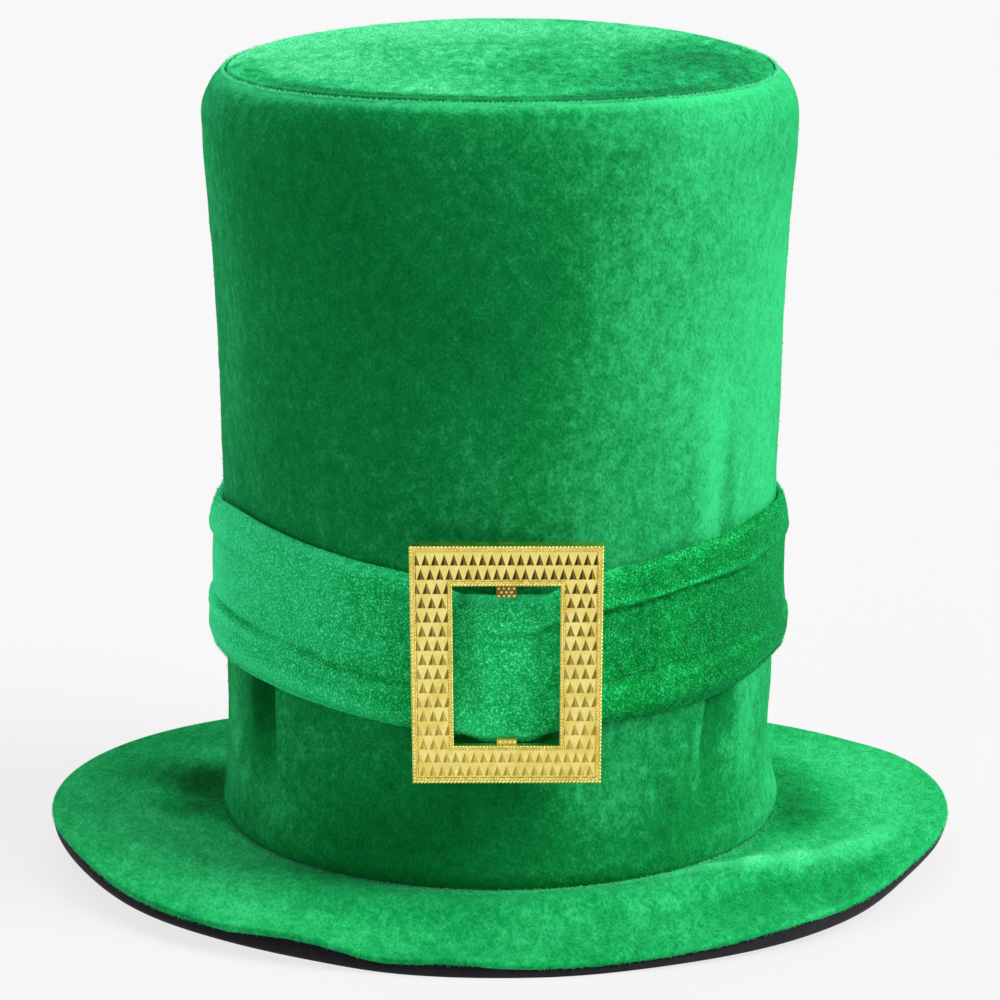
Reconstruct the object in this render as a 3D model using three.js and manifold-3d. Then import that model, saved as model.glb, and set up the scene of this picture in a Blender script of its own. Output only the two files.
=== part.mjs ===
// A tall green velvet leprechaun hat: a flared crown with a rounded shoulder, a sewn-in tip,
// a two-layer brim whose sides curl up, a loose hat band and a square gold slide buckle.
// Millimetres, +Z up, the buckle faces -Y. The origin is the middle of the surface that the
// brim rests on. Azimuths are in degrees from +X, so the front of the hat is at 270.

import * as THREE from "three";
import { mergeVertices } from "three/addons/utils/BufferGeometryUtils.js";
import Module from "manifold-3d";

const wasm = await Module();
wasm.setup();

// Clearance between pieces that are sewn or laid against each other
const SEAM_GAP = 0.3;

// Head opening, inside the crown
const HEAD_WIDTH = 179;
const HEAD_DEPTH = 199;

// Crown side: velvet bonded to foam
const CROWN_WALL = 3;
const CROWN_HEIGHT = 256.5;
const SHOULDER_WIDTH = 198.8;
const SHOULDER_RISE = 16;
const SHOULDER_TUCK = 13;
const SHOULDER_TURN = 65;
const TOP_SIDE_DIP = 2.6;
const FOLD_DEPTH = 3.2;

// Tip: the disc sewn inside the shoulder
const TIP_WALL = 3;
const TIP_DOME = 1.8;
const TIP_ROLL = 9;
const SEAM_GROOVE = 1.4;

// Brim: a velvet upper on a thicker black lining
const BRIM_WIDTH = 306;
const BRIM_DEPTH = 318;
const BRIM_UPPER = 2.2;
const BRIM_LINING = 3.4;
const SEAM_HEIGHT = 12;
const SIDE_LIFT = 9.5;
const SWELL_HEIGHT = 3;
const RIM_ROUND = 1.1;

// Hat band: doubled velour that stands off the crown
const BAND_HEIGHT = 47.5;
const BAND_HEM = 6.5;
const BAND_RISE = 65;
const BAND_DIP = 12.4;
const BAND_STANDOFF = 6;
const BAND_CLOTH = 2.4;

// Slide buckle: a hollow-backed casting with a bar that the band runs over
const BUCKLE_WIDTH = 61;
const BUCKLE_SIDE = 13.5;
const BUCKLE_END = 12.6;
const BUCKLE_THICK = 5;
const BUCKLE_FACE = 1.7;
const BUCKLE_WALL = 1.3;
const BUCKLE_OFFSET = 2.35;
const BUCKLE_LEAN = 2.5;
const BUCKLE_ROLL = 1.2;
const OUTER_BORDER = 2.4;
const INNER_BORDER = 2;
const BORDER_RELIEF = 0.45;
const BAR_WIDTH = 6.3;
const BAR_THICK = 1.6;
const BAR_SETBACK = 1.8;
const BAR_TAB = 4;
const BAR_STRUT = 1.8;

// Triangular studs on the buckle's face
const STUD_COLUMNS = 20;
const STUD_ROWS = 16;
const STUD_RELIEF = 1;
const STUD_GAP = 0.08;

// How far the shapes of one casting reach into each other where they join
const JOIN = 0.3;

// Crown side from the brim seam to the foot of the shoulder.
// up: share of that height. flare: share of the way from the base's width to the shoulder's.
const CROWN_PROFILE = [
  { up: 0.0, flare: 0.0 },
  { up: 0.014, flare: 0.26 },
  { up: 0.05, flare: 0.17 },
  { up: 0.1, flare: 0.04 },
  { up: 0.16, flare: -0.01 },
  { up: 0.225, flare: 0.0 },
  { up: 0.345, flare: 0.01 },
  { up: 0.456, flare: 0.1 },
  { up: 0.585, flare: 0.28 },
  { up: 0.714, flare: 0.43 },
  { up: 0.842, flare: 0.66 },
  { up: 0.946, flare: 0.92 },
  { up: 1.0, flare: 1.0 },
];

// Creases and soft dents in the crown side.
// spread: half width in degrees. reach: half height, a share of the side's height.
// depth: share of FOLD_DEPTH, inwards.
const CROWN_FOLDS = [
  { azimuth: 216, up: 0.18, spread: 5.5, reach: 0.1, depth: 0.9 },
  { azimuth: 226, up: 0.14, spread: 6, reach: 0.08, depth: -0.3 },
  { azimuth: 308, up: 0.17, spread: 5, reach: 0.11, depth: -0.35 },
  { azimuth: 317, up: 0.18, spread: 5.5, reach: 0.13, depth: 1.0 },
  { azimuth: 327, up: 0.5, spread: 9, reach: 0.07, depth: 0.3 },
  { azimuth: 348, up: 0.13, spread: 9, reach: 0.07, depth: 0.25 },
  { azimuth: 300, up: 0.55, spread: 12, reach: 0.2, depth: 0.25 },
  { azimuth: 200, up: 0.75, spread: 16, reach: 0.16, depth: 0.25 },
];

// Rim of the brim. lift: share of SIDE_LIFT by which the underside stands clear of the
// surface. edge: extra height of the lining's edge, as a share of BRIM_LINING.
const RIM = [
  { azimuth: 0, lift: 0.97, edge: -0.3 },
  { azimuth: 12, lift: 0.82, edge: -0.1 },
  { azimuth: 23, lift: 0.66, edge: -0.05 },
  { azimuth: 34, lift: 0.4, edge: 0.0 },
  { azimuth: 45, lift: 0.22, edge: 0.05 },
  { azimuth: 66, lift: 0.05, edge: -0.05 },
  { azimuth: 82, lift: 0.0, edge: 0.0 },
  { azimuth: 98, lift: 0.0, edge: 0.05 },
  { azimuth: 112, lift: 0.12, edge: -0.05 },
  { azimuth: 135, lift: 0.43, edge: 0.05 },
  { azimuth: 150, lift: 0.65, edge: 0.0 },
  { azimuth: 165, lift: 0.84, edge: -0.1 },
  { azimuth: 180, lift: 1.0, edge: -0.25 },
  { azimuth: 205, lift: 0.86, edge: 0.25 },
  { azimuth: 220, lift: 0.56, edge: 0.0 },
  { azimuth: 234, lift: 0.4, edge: 0.0 },
  { azimuth: 246, lift: 0.22, edge: 0.6 },
  { azimuth: 256, lift: 0.04, edge: -0.1 },
  { azimuth: 264, lift: 0.0, edge: 0.12 },
  { azimuth: 276, lift: 0.0, edge: -0.28 },
  { azimuth: 290, lift: 0.1, edge: -0.2 },
  { azimuth: 309, lift: 0.28, edge: 0.3 },
  { azimuth: 320, lift: 0.48, edge: 0.1 },
  { azimuth: 332, lift: 0.9, edge: -0.2 },
  { azimuth: 345, lift: 1.0, edge: -0.25 },
];

// Low swells and hollows of the brim. across: share of the way from the crown to the rim.
// reach: half width across. height: share of SWELL_HEIGHT.
const BRIM_SWELLS = [
  { azimuth: 302, across: 0.28, spread: 30, reach: 0.26, height: 1.0 },
  { azimuth: 238, across: 0.35, spread: 26, reach: 0.3, height: 0.45 },
  { azimuth: 196, across: 0.3, spread: 22, reach: 0.26, height: -0.8 },
  { azimuth: 345, across: 0.32, spread: 22, reach: 0.28, height: -0.35 },
  { azimuth: 60, across: 0.35, spread: 30, reach: 0.3, height: 0.4 },
  { azimuth: 130, across: 0.35, spread: 30, reach: 0.3, height: 0.3 },
];

// The band's way round the hat. dip: how far it has slid down towards the buckle, as a share
// of BAND_DIP. hem: how far its lower hem curls in below it, as a share of BAND_HEM.
// upper, lower: how deep its two creases are there.
const BAND_WAY = [
  { azimuth: 0, dip: 0.15, hem: 1.0, upper: 0.7, lower: 0.5 },
  { azimuth: 90, dip: 0.35, hem: 1.0, upper: 0.4, lower: 0.4 },
  { azimuth: 180, dip: 0.15, hem: 1.0, upper: 0.5, lower: 0.7 },
  { azimuth: 208, dip: 0.02, hem: 1.0, upper: 0.7, lower: 1.0 },
  { azimuth: 225, dip: 0.2, hem: 0.9, upper: 0.4, lower: 0.8 },
  { azimuth: 240, dip: 0.45, hem: 0.7, upper: 0.15, lower: 0.5 },
  { azimuth: 253, dip: 0.66, hem: 0.5, upper: 0.1, lower: 0.4 },
  { azimuth: 263, dip: 0.93, hem: 0.1, upper: 0.1, lower: 0.1 },
  { azimuth: 267, dip: 1.0, hem: 0.05, upper: 0.1, lower: 0.05 },
  { azimuth: 275, dip: 1.0, hem: 0.05, upper: 0.2, lower: 0.05 },
  { azimuth: 280, dip: 0.9, hem: 0.1, upper: 0.4, lower: 0.1 },
  { azimuth: 290, dip: 0.62, hem: 0.5, upper: 1.0, lower: 0.6 },
  { azimuth: 305, dip: 0.4, hem: 0.8, upper: 1.0, lower: 0.7 },
  { azimuth: 320, dip: 0.18, hem: 1.0, upper: 1.0, lower: 0.5 },
  { azimuth: 338, dip: 0.02, hem: 1.0, upper: 0.8, lower: 0.3 },
];

// Band section, bottom to top. up: share of BAND_HEIGHT. under: share of the hem's curl
// below that. out: share of BAND_STANDOFF. upper, lower: extra depth of the two creases
// there, as shares of BAND_CLOTH.
const BAND_OUTSIDE = [
  { up: 0.0, under: 1.0, out: 0.14, upper: 0.0, lower: 0.0 },
  { up: 0.0, under: 0.5, out: 0.72, upper: 0.0, lower: 0.0 },
  { up: 0.01, under: 0.1, out: 1.06, upper: 0.0, lower: 0.0 },
  { up: 0.1, under: 0.0, out: 1.08, upper: 0.0, lower: -0.1 },
  { up: 0.19, under: 0.0, out: 0.96, upper: 0.0, lower: -0.1 },
  { up: 0.25, under: 0.0, out: 0.9, upper: 0.0, lower: 0.4 },
  { up: 0.33, under: 0.0, out: 0.85, upper: 0.0, lower: 0.1 },
  { up: 0.52, under: 0.0, out: 0.8, upper: 0.0, lower: 0.0 },
  { up: 0.71, under: 0.0, out: 0.86, upper: 0.3, lower: 0.0 },
  { up: 0.78, under: 0.0, out: 0.94, upper: -0.05, lower: 0.0 },
  { up: 0.88, under: 0.0, out: 0.88, upper: -0.05, lower: 0.0 },
  { up: 0.955, under: 0.0, out: 0.55, upper: 0.0, lower: 0.0 },
  { up: 1.0, under: 0.0, out: 0.22, upper: 0.0, lower: 0.0 },
];
const BAND_INSIDE = [
  { up: 0.99, under: 0.0, out: 0.06 },
  { up: 0.88, under: 0.0, out: 0.08 },
  { up: 0.68, under: 0.0, out: 0.36 },
  { up: 0.3, under: 0.0, out: 0.4 },
  { up: 0.03, under: 0.2, out: 0.12 },
];

// Shares of the way across the brim, from the crown to the rim, at which it is modelled
const BRIM_STATIONS = [0.1, 0.24, 0.38, 0.55, 0.72, 0.88];
const SEGMENTS = { front: 32, back: 20 };
const FRONT = 270;

// Sizes that follow from the ones above
const baseWidth = HEAD_WIDTH / 2 + CROWN_WALL;
const depthExtra = (HEAD_DEPTH - HEAD_WIDTH) / 2;
const rimWidth = BRIM_WIDTH / 2;
const rimDepthExtra = (BRIM_DEPTH - BRIM_WIDTH) / 2;
const brimThick = BRIM_LINING + SEAM_GAP + BRIM_UPPER;
const shoulderTurn = THREE.MathUtils.degToRad(SHOULDER_TURN);
const shoulderHeight = SHOULDER_RISE * Math.sin(shoulderTurn);
const seamInset = SHOULDER_TUCK * (1 - Math.cos(shoulderTurn));
const tipWidth = SHOULDER_WIDTH / 2 - seamInset;
const windowWidth = BUCKLE_WIDTH - 2 * BUCKLE_SIDE;
const bandLip = Math.max(...BAND_OUTSIDE.map((row) => row.out));
const restStrip = BRIM_STATIONS[BRIM_STATIONS.length - 1];

const radians = THREE.MathUtils.degToRad;
const mix = THREE.MathUtils.lerp;

function smooth(share) {
  const t = THREE.MathUtils.clamp(share, 0, 1);
  return t * t * (3 - 2 * t);
}

// A bump that is 1 at the middle and fades out smoothly at its half width.
function bump(distance, halfWidth) {
  return 1 - smooth(Math.abs(distance) / (2 * halfWidth));
}

// Signed angle from one azimuth to another, from -180 to 180.
function turnBetween(from, to) {
  return ((((to - from) % 360) + 540) % 360) - 180;
}

// A column of a table that runs round the hat, eased from row to row.
function around(table, column, azimuth) {
  const angle = ((azimuth % 360) + 360) % 360;
  const next = table.findIndex((row) => row.azimuth > angle);
  const after = next < 0 ? table[0] : table[next];
  const before = next < 0 ? table[table.length - 1] : table[Math.max(next - 1, 0)];
  const span = (after.azimuth - before.azimuth + 360) % 360 || 360;
  const share = (angle - before.azimuth) / span;
  return mix(before[column], after[column], smooth(share));
}

// A column of a table that runs upwards, with straight stretches between its rows.
function upwards(table, column, up) {
  const next = table.findIndex((row) => row.up >= up);
  if (next <= 0) return next < 0 ? table[table.length - 1][column] : table[0][column];
  const share = (up - table[next - 1].up) / (table[next].up - table[next - 1].up);
  return mix(table[next - 1][column], table[next][column], share);
}

// Buckle's window: as tall as the band where it runs over the bar, and the bar's carriers.
const bandFoot = SEAM_HEIGHT + BAND_RISE;
const pinchedHem = BAND_HEM * around(BAND_WAY, "hem", FRONT);
const windowHeight = BAND_HEIGHT + pinchedHem + BAR_TAB + BAR_STRUT + 2 * SEAM_GAP;
const buckleHeight = windowHeight + 2 * BUCKLE_END;

// Azimuths of the sections round the hat: closer together in the front half.
function azimuths() {
  const back = Array.from({ length: SEGMENTS.back }, (_, i) => (180 * i) / SEGMENTS.back);
  const front = Array.from({ length: SEGMENTS.front }, (_, i) => 180 + (180 * i) / SEGMENTS.front);
  return [...back, ...front];
}

// A point on an upright oval: width is its half width, extra what its half depth has more.
function ovalPoint(azimuth, width, extra, height) {
  const angle = radians(azimuth);
  return [width * Math.cos(angle), (width + extra) * Math.sin(angle), height];
}

// Closed ring whose section is a loop of points: outside upwards, then inside downwards.
function ringGeometry(angles, section) {
  const loops = angles.map(section);
  const count = loops[0].length;
  const position = loops.flat(2);
  const index = [];
  loops.forEach((_, i) => {
    const next = (i + 1) % loops.length;
    for (let k = 0; k < count; k++) {
      const above = (k + 1) % count;
      pushQuad(index, position, [i * count + k, next * count + k, next * count + above, i * count + above]);
    }
  });
  return indexedGeometry(position, index);
}

// Two triangles, split along the shorter diagonal, so that faces with the same corners on
// both sides of a gap are split alike.
function pushQuad(index, position, [a, b, c, d]) {
  const point = (corner) => new THREE.Vector3().fromArray(position, corner * 3);
  const alongAC = point(a).distanceTo(point(c)) < point(b).distanceTo(point(d));
  index.push(...(alongAC ? [a, b, c, a, c, d] : [a, b, d, b, c, d]));
}

// Closed disc: each section runs from the middle of its underside, round its edge, to the
// middle of its upper face. The two middle points are shared by all sections.
function discGeometry(angles, section) {
  const loops = angles.map(section);
  const count = loops[0].length;
  const inner = count - 2;
  const position = [...loops[0][0], ...loops[0][count - 1]];
  loops.forEach((loop) => position.push(...loop.slice(1, -1).flat()));
  const at = (i, k) => 2 + (i % loops.length) * inner + k;
  const index = [];
  loops.forEach((_, i) => {
    index.push(0, at(i + 1, 0), at(i, 0));
    for (let k = 0; k < inner - 1; k++) {
      pushQuad(index, position, [at(i, k), at(i + 1, k), at(i + 1, k + 1), at(i, k + 1)]);
    }
    index.push(at(i, inner - 1), at(i + 1, inner - 1), 1);
  });
  return indexedGeometry(position, index);
}

function indexedGeometry(position, index) {
  const geometry = new THREE.BufferGeometry();
  geometry.setAttribute("position", new THREE.Float32BufferAttribute(position, 3));
  geometry.setIndex(index);
  geometry.computeVertexNormals();
  return geometry;
}

// Brim heights. across is 0 at the crown's seam and 1 at the rim.
function brimUnderside(azimuth, across) {
  const seat = SEAM_HEIGHT - SEAM_GAP - brimThick;
  const rim = SIDE_LIFT * around(RIM, "lift", azimuth);
  const swell = BRIM_SWELLS.reduce((sum, row) => {
    const turn = bump(turnBetween(row.azimuth, azimuth), row.spread);
    return sum + row.height * turn * bump(across - row.across, row.reach / 2);
  }, 0);
  return mix(seat, rim, smooth(across / restStrip)) + SWELL_HEIGHT * swell;
}

function liningTop(azimuth, across) {
  const wave = around(RIM, "edge", azimuth) * smooth((across - restStrip) / (1 - restStrip));
  return brimUnderside(azimuth, across) + BRIM_LINING * (1 + wave);
}

function brimPoint(azimuth, across, inset, height) {
  const width = mix(baseWidth, rimWidth, across) - inset;
  return ovalPoint(azimuth, width, mix(depthExtra, rimDepthExtra, across), height);
}

// Half width of the crown's outside, without its folds, and the heights that bound it.
function crownTop(azimuth) {
  return SEAM_HEIGHT + CROWN_HEIGHT - TOP_SIDE_DIP * Math.cos(radians(azimuth)) ** 2;
}

function crownWidth(azimuth, height) {
  const foot = crownTop(azimuth) - shoulderHeight;
  const up = (height - SEAM_HEIGHT) / (foot - SEAM_HEIGHT);
  return mix(baseWidth, SHOULDER_WIDTH / 2, upwards(CROWN_PROFILE, "flare", up));
}

function crownFold(azimuth, up) {
  return CROWN_FOLDS.reduce((sum, row) => {
    const turn = bump(turnBetween(row.azimuth, azimuth), row.spread / 2);
    return sum + FOLD_DEPTH * row.depth * turn * bump(up - row.up, row.reach);
  }, 0);
}

// Crown side: up the outside, over the shoulder to the tip's seam, and down the inside.
function crownSection(azimuth) {
  const top = crownTop(azimuth);
  const foot = top - shoulderHeight;
  const outside = [];
  const inside = [];
  CROWN_PROFILE.forEach((row, i) => {
    const width = mix(baseWidth, SHOULDER_WIDTH / 2, row.flare) - crownFold(azimuth, row.up);
    const height = mix(SEAM_HEIGHT, foot, row.up);
    outside.push(ovalPoint(azimuth, width, depthExtra, height));
    const inner = row.flare > 0 && row.up < 0.1 ? baseWidth : width;
    if (i % 2 === 0) inside.push(ovalPoint(azimuth, inner - CROWN_WALL, depthExtra, height));
  });
  const steps = 4;
  for (let i = 1; i <= steps; i++) {
    const turn = (shoulderTurn * i) / steps;
    const facing = ((Math.PI / 2) * i) / steps;
    const width = SHOULDER_WIDTH / 2 - SHOULDER_TUCK * (1 - Math.cos(turn));
    const height = foot + SHOULDER_RISE * Math.sin(turn);
    outside.push(ovalPoint(azimuth, width, depthExtra, height));
    const inner = width - CROWN_WALL * Math.cos(facing);
    if (i % 2 === 0) inside.push(ovalPoint(azimuth, inner, depthExtra, height - CROWN_WALL * Math.sin(facing)));
  }
  return [...outside, ...inside.reverse()];
}

// Tip: a soft disc that rolls down into its seam.
function tipSection(azimuth) {
  const edge = tipWidth - SEAM_GAP;
  const seam = crownTop(azimuth) - SEAM_GROOVE;
  const flat = SEAM_HEIGHT + CROWN_HEIGHT - TOP_SIDE_DIP / 2;
  const rows = [
    { width: edge, height: seam },
    { width: edge - TIP_ROLL * 0.25, height: seam + SEAM_GROOVE * 0.6 },
    { width: edge - TIP_ROLL, height: seam + SEAM_GROOVE },
    { width: edge * 0.6, height: flat + TIP_DOME * 0.6 },
    { width: edge * 0.3, height: flat + TIP_DOME * 0.9 },
  ];
  const upper = rows.map((row) => tipPoint(azimuth, row.width, row.height));
  const under = rows.map((row) => tipPoint(azimuth, row.width, row.height - TIP_WALL)).reverse();
  const middle = flat + TIP_DOME;
  return [[0, 0, middle - TIP_WALL], ...under, ...upper, [0, 0, middle]];
}

function tipPoint(azimuth, width, height) {
  const extra = depthExtra * (width / tipWidth);
  return ovalPoint(azimuth, width, extra, height);
}

// Velvet upper of the brim: inner edge, seat of the crown, out over the top, round the rim
// and back along its underside.
function brimUpperSection(azimuth) {
  const above = (across) => liningTop(azimuth, across) + SEAM_GAP;
  const point = (across, inset, height) => brimPoint(azimuth, across, inset, height);
  const under = [0, ...BRIM_STATIONS].map((across) => point(across, across ? 0 : CROWN_WALL, above(across)));
  const rim = above(1);
  const edge = [
    point(1, RIM_ROUND * 0.5, rim),
    point(1, 0, rim + BRIM_UPPER * 0.4),
    point(1, RIM_ROUND, rim + BRIM_UPPER * 0.9),
  ];
  const over = [...BRIM_STATIONS].reverse().map((across) => point(across, 0, above(across) + BRIM_UPPER));
  const seat = [
    point(0, -SEAM_GAP, above(0) + BRIM_UPPER),
    point(0, CROWN_WALL, above(0) + BRIM_UPPER),
  ];
  return [...under, ...edge, ...over, ...seat];
}

// Black lining of the brim, which also makes its edge.
function brimLiningSection(azimuth) {
  const point = (across, inset, height) => brimPoint(azimuth, across, inset, height);
  const bottom = (across) => brimUnderside(azimuth, across);
  const under = [0, ...BRIM_STATIONS].map((across) => point(across, across ? 0 : CROWN_WALL, bottom(across)));
  const edge = [
    point(1, RIM_ROUND * 1.2, bottom(1)),
    point(1, RIM_ROUND * 0.4, bottom(1) + RIM_ROUND * 0.7),
    point(1, RIM_ROUND * 0.6, liningTop(azimuth, 1)),
  ];
  const over = [...BRIM_STATIONS].reverse().map((across) => point(across, 0, liningTop(azimuth, across)));
  return [...under, ...edge, ...over, point(0, CROWN_WALL, liningTop(azimuth, 0))];
}

// Buckle's place: the plane of its back, clear of the band where the band runs behind its sides,
// and the middle of its window, round the band's lowest stretch.
const buckleMiddle = bandFoot - BAND_DIP - pinchedHem - SEAM_GAP - BAR_STRUT + windowHeight / 2;
const buckleBack = (() => {
  const width = crownWidth(FRONT, buckleMiddle);
  const edge = (windowWidth / 2 - Math.abs(BUCKLE_OFFSET)) / width;
  const wall = (width + depthExtra) * Math.sqrt(1 - edge * edge);
  const leaned = (windowHeight / 2) * Math.tan(radians(BUCKLE_LEAN));
  return wall + bandLip * BAND_STANDOFF + leaned + SEAM_GAP;
})();

// How far in front of the crown the band has to stand to clear the buckle's bar.
function standoffAtBar(azimuth, height, width) {
  const across = width * Math.cos(radians(azimuth)) - BUCKLE_OFFSET;
  const barFront = buckleBack - BAR_SETBACK + (height - buckleMiddle) * Math.tan(radians(BUCKLE_LEAN));
  const wall = (width + depthExtra) * Math.abs(Math.sin(radians(azimuth)));
  const near = 1 - smooth((Math.abs(across) - BAR_WIDTH) / (windowWidth / 2 - BAR_WIDTH));
  return Math.sin(radians(azimuth)) < 0 ? near * (barFront + SEAM_GAP - wall) : 0;
}

// Hat band: up the outside with its lips and creases, and down the inside. Over the buckle's
// bar it comes forward and keeps its cloth's thickness.
function bandSection(azimuth) {
  const foot = bandFoot - BAND_DIP * around(BAND_WAY, "dip", azimuth);
  const hem = BAND_HEM * around(BAND_WAY, "hem", azimuth);
  const [upper, lower] = [around(BAND_WAY, "upper", azimuth), around(BAND_WAY, "lower", azimuth)];
  const place = (row, crease, thickness) => {
    const height = foot + row.up * BAND_HEIGHT - row.under * hem;
    const width = crownWidth(azimuth, height);
    const own = Math.max(row.out * BAND_STANDOFF - crease * BAND_CLOTH, SEAM_GAP);
    const needed = standoffAtBar(azimuth, height, width) + thickness;
    return ovalPoint(azimuth, width + Math.max(own, needed), depthExtra, height);
  };
  const outside = BAND_OUTSIDE.map((row) => {
    return place(row, row.upper * upper + row.lower * lower, BAND_CLOTH * bandBody(row.up));
  });
  const inside = BAND_INSIDE.map((row) => place(row, 0, 0));
  return [...outside, ...inside];
}

// Share of the cloth's thickness that is left near the band's rounded edges.
function bandBody(up) {
  return mix(0.55, 1, smooth(Math.min(up, 1 - up) * 8));
}

// Azimuths of the band's sections: the hat's own, and closer ones where it crosses the bar.
function bandAzimuths() {
  const half = 20;
  const step = 2.5;
  const close = [];
  for (let turn = -half; turn <= half; turn += step) close.push(FRONT + turn);
  const others = azimuths().filter((angle) => Math.abs(turnBetween(FRONT, angle)) > half + step / 2);
  return [...others, ...close].sort((a, b) => a - b);
}

function toSolid(geometry) {
  const bare = geometry.clone();
  bare.deleteAttribute("normal");
  bare.deleteAttribute("uv");
  const merged = mergeVertices(bare, 1e-4);
  return new wasm.Manifold(
    new wasm.Mesh({
      numProp: 3,
      vertProperties: new Float32Array(merged.attributes.position.array),
      triVerts: new Uint32Array(merged.index.array),
    }),
  );
}

function toGeometry(solid) {
  const mesh = solid.getMesh();
  return indexedGeometry(Array.from(mesh.vertProperties), Array.from(mesh.triVerts));
}

// Upright rectangular block: x and z bound it as seen from the front, y from front to back.
function block([x0, x1], [y0, y1], [z0, z1]) {
  const box = new THREE.BoxGeometry(x1 - x0, y1 - y0, z1 - z0);
  return toSolid(box.translate((x0 + x1) / 2, (y0 + y1) / 2, (z0 + z1) / 2));
}

// Rectangular frame between two half sizes, from front to back.
function frame(outer, inner, front, back) {
  const whole = block([-outer[0], outer[0]], [front, back], [-outer[1], outer[1]]);
  const hole = block([-inner[0], inner[0]], [front - JOIN, back + JOIN], [-inner[1], inner[1]]);
  return whole.subtract(hole);
}

// Three-sided studs in staggered rows over the buckle's whole face, standing on the plane
// y = face and pointing to -Y.
function studField(halfWidth, halfHeight, face) {
  const column = (2 * halfWidth) / STUD_COLUMNS;
  const row = (2 * halfHeight) / STUD_ROWS;
  const [position, index] = [[], []];
  for (let j = 0; j < STUD_ROWS; j++) {
    const foot = -halfHeight + j * row + STUD_GAP / 2;
    const shift = j % 2 ? 0.5 : 0;
    for (let i = 0; i <= STUD_COLUMNS; i++) {
      const middle = -halfWidth + (i + shift) * column;
      const base = position.length / 3;
      const half = (column - STUD_GAP) / 2;
      const tall = row - STUD_GAP;
      position.push(middle - half, face + STUD_GAP, foot, middle + half, face + STUD_GAP, foot);
      position.push(middle, face + STUD_GAP, foot + tall);
      position.push(middle, face - STUD_RELIEF, foot + tall * 0.36);
      const faces = [0, 1, 3, 1, 2, 3, 2, 0, 3, 0, 2, 1];
      index.push(...faces.map((corner) => base + corner));
    }
  }
  return toSolid(indexedGeometry(position, index));
}

// Buckle, in its own frame: x across, z up, its back on y = 0 and its face towards -Y.
function buckleGeometry() {
  const outer = [BUCKLE_WIDTH / 2, buckleHeight / 2];
  const inner = [windowWidth / 2, windowHeight / 2];
  const grow = ([x, z], by) => [x + by, z + by];
  const face = -BUCKLE_THICK + BORDER_RELIEF;
  const body = frame(outer, inner, face, 0);
  const channel = frame(grow(outer, -BUCKLE_WALL), grow(inner, BUCKLE_WALL), face + BUCKLE_FACE, JOIN);
  const outerBorder = frame(outer, grow(outer, -OUTER_BORDER), -BUCKLE_THICK, face + JOIN);
  const innerBorder = frame(grow(inner, INNER_BORDER), inner, -BUCKLE_THICK, face + JOIN);
  const field = frame(grow(outer, -OUTER_BORDER), grow(inner, INNER_BORDER), face - 2 * STUD_RELIEF, 0);
  const studs = studField(outer[0] - OUTER_BORDER, outer[1] - OUTER_BORDER, face).intersect(field);
  const parts = [outerBorder, innerBorder, studs, ...barParts(inner[1])];
  return toGeometry(parts.reduce((whole, part) => whole.add(part), body.subtract(channel)));
}

// Bar behind the band, and the tabs and struts that carry it at the window's top and bottom.
function barParts(windowHalf) {
  const x = [-BAR_WIDTH / 2, BAR_WIDTH / 2];
  const front = -BUCKLE_THICK + BORDER_RELIEF;
  const bar = [BAR_SETBACK, BAR_SETBACK + BAR_THICK];
  return [
    block(x, bar, [-windowHalf - JOIN, windowHalf + JOIN]),
    block(x, [front, bar[1]], [windowHalf - BAR_TAB, windowHalf + JOIN]),
    block(x, [front, bar[1]], [-windowHalf - JOIN, -windowHalf + BAR_STRUT]),
  ];
}

const velvet = new THREE.MeshStandardMaterial({ color: 0x0c8a3c, roughness: 0.85, metalness: 0 });
const velour = new THREE.MeshStandardMaterial({ color: 0x16a04c, roughness: 0.75, metalness: 0 });
const lining = new THREE.MeshStandardMaterial({ color: 0x17161b, roughness: 0.95, metalness: 0 });
const gold = new THREE.MeshStandardMaterial({ color: 0xe2b53a, roughness: 0.28, metalness: 1 });

function named(name, geometry, material) {
  const mesh = new THREE.Mesh(geometry, material);
  mesh.name = name;
  return mesh;
}

function makeBuckle() {
  const buckle = named("buckle", buckleGeometry(), gold);
  buckle.position.set(BUCKLE_OFFSET, -buckleBack, buckleMiddle);
  buckle.rotation.set(radians(BUCKLE_LEAN), radians(BUCKLE_ROLL), 0);
  return buckle;
}

const hat = new THREE.Group();
hat.add(named("crown_side", ringGeometry(azimuths(), crownSection), velvet));
hat.add(named("crown_tip", discGeometry(azimuths(), tipSection), velvet));
hat.add(named("brim_upper", ringGeometry(azimuths(), brimUpperSection), velvet));
hat.add(named("brim_lining", ringGeometry(azimuths(), brimLiningSection), lining));
hat.add(named("hat_band", ringGeometry(bandAzimuths(), bandSection), velour));
hat.add(makeBuckle());

export default hat;
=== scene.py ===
"""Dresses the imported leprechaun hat: velvet crown and brim, velour band and studded gold buckle.

Shapes are worked out in millimetres from the solids' sizes and forms, with the finer folds and
relief of the cloth and the buckle's beads added, and are stored in metres. Azimuths are in degrees
from +X, so the front of the hat, with its buckle, is at 270.
"""

from __future__ import annotations

import logging
import math
from dataclasses import dataclass, field, replace
from enum import Enum
from typing import NamedTuple, Sequence, Union

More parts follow.
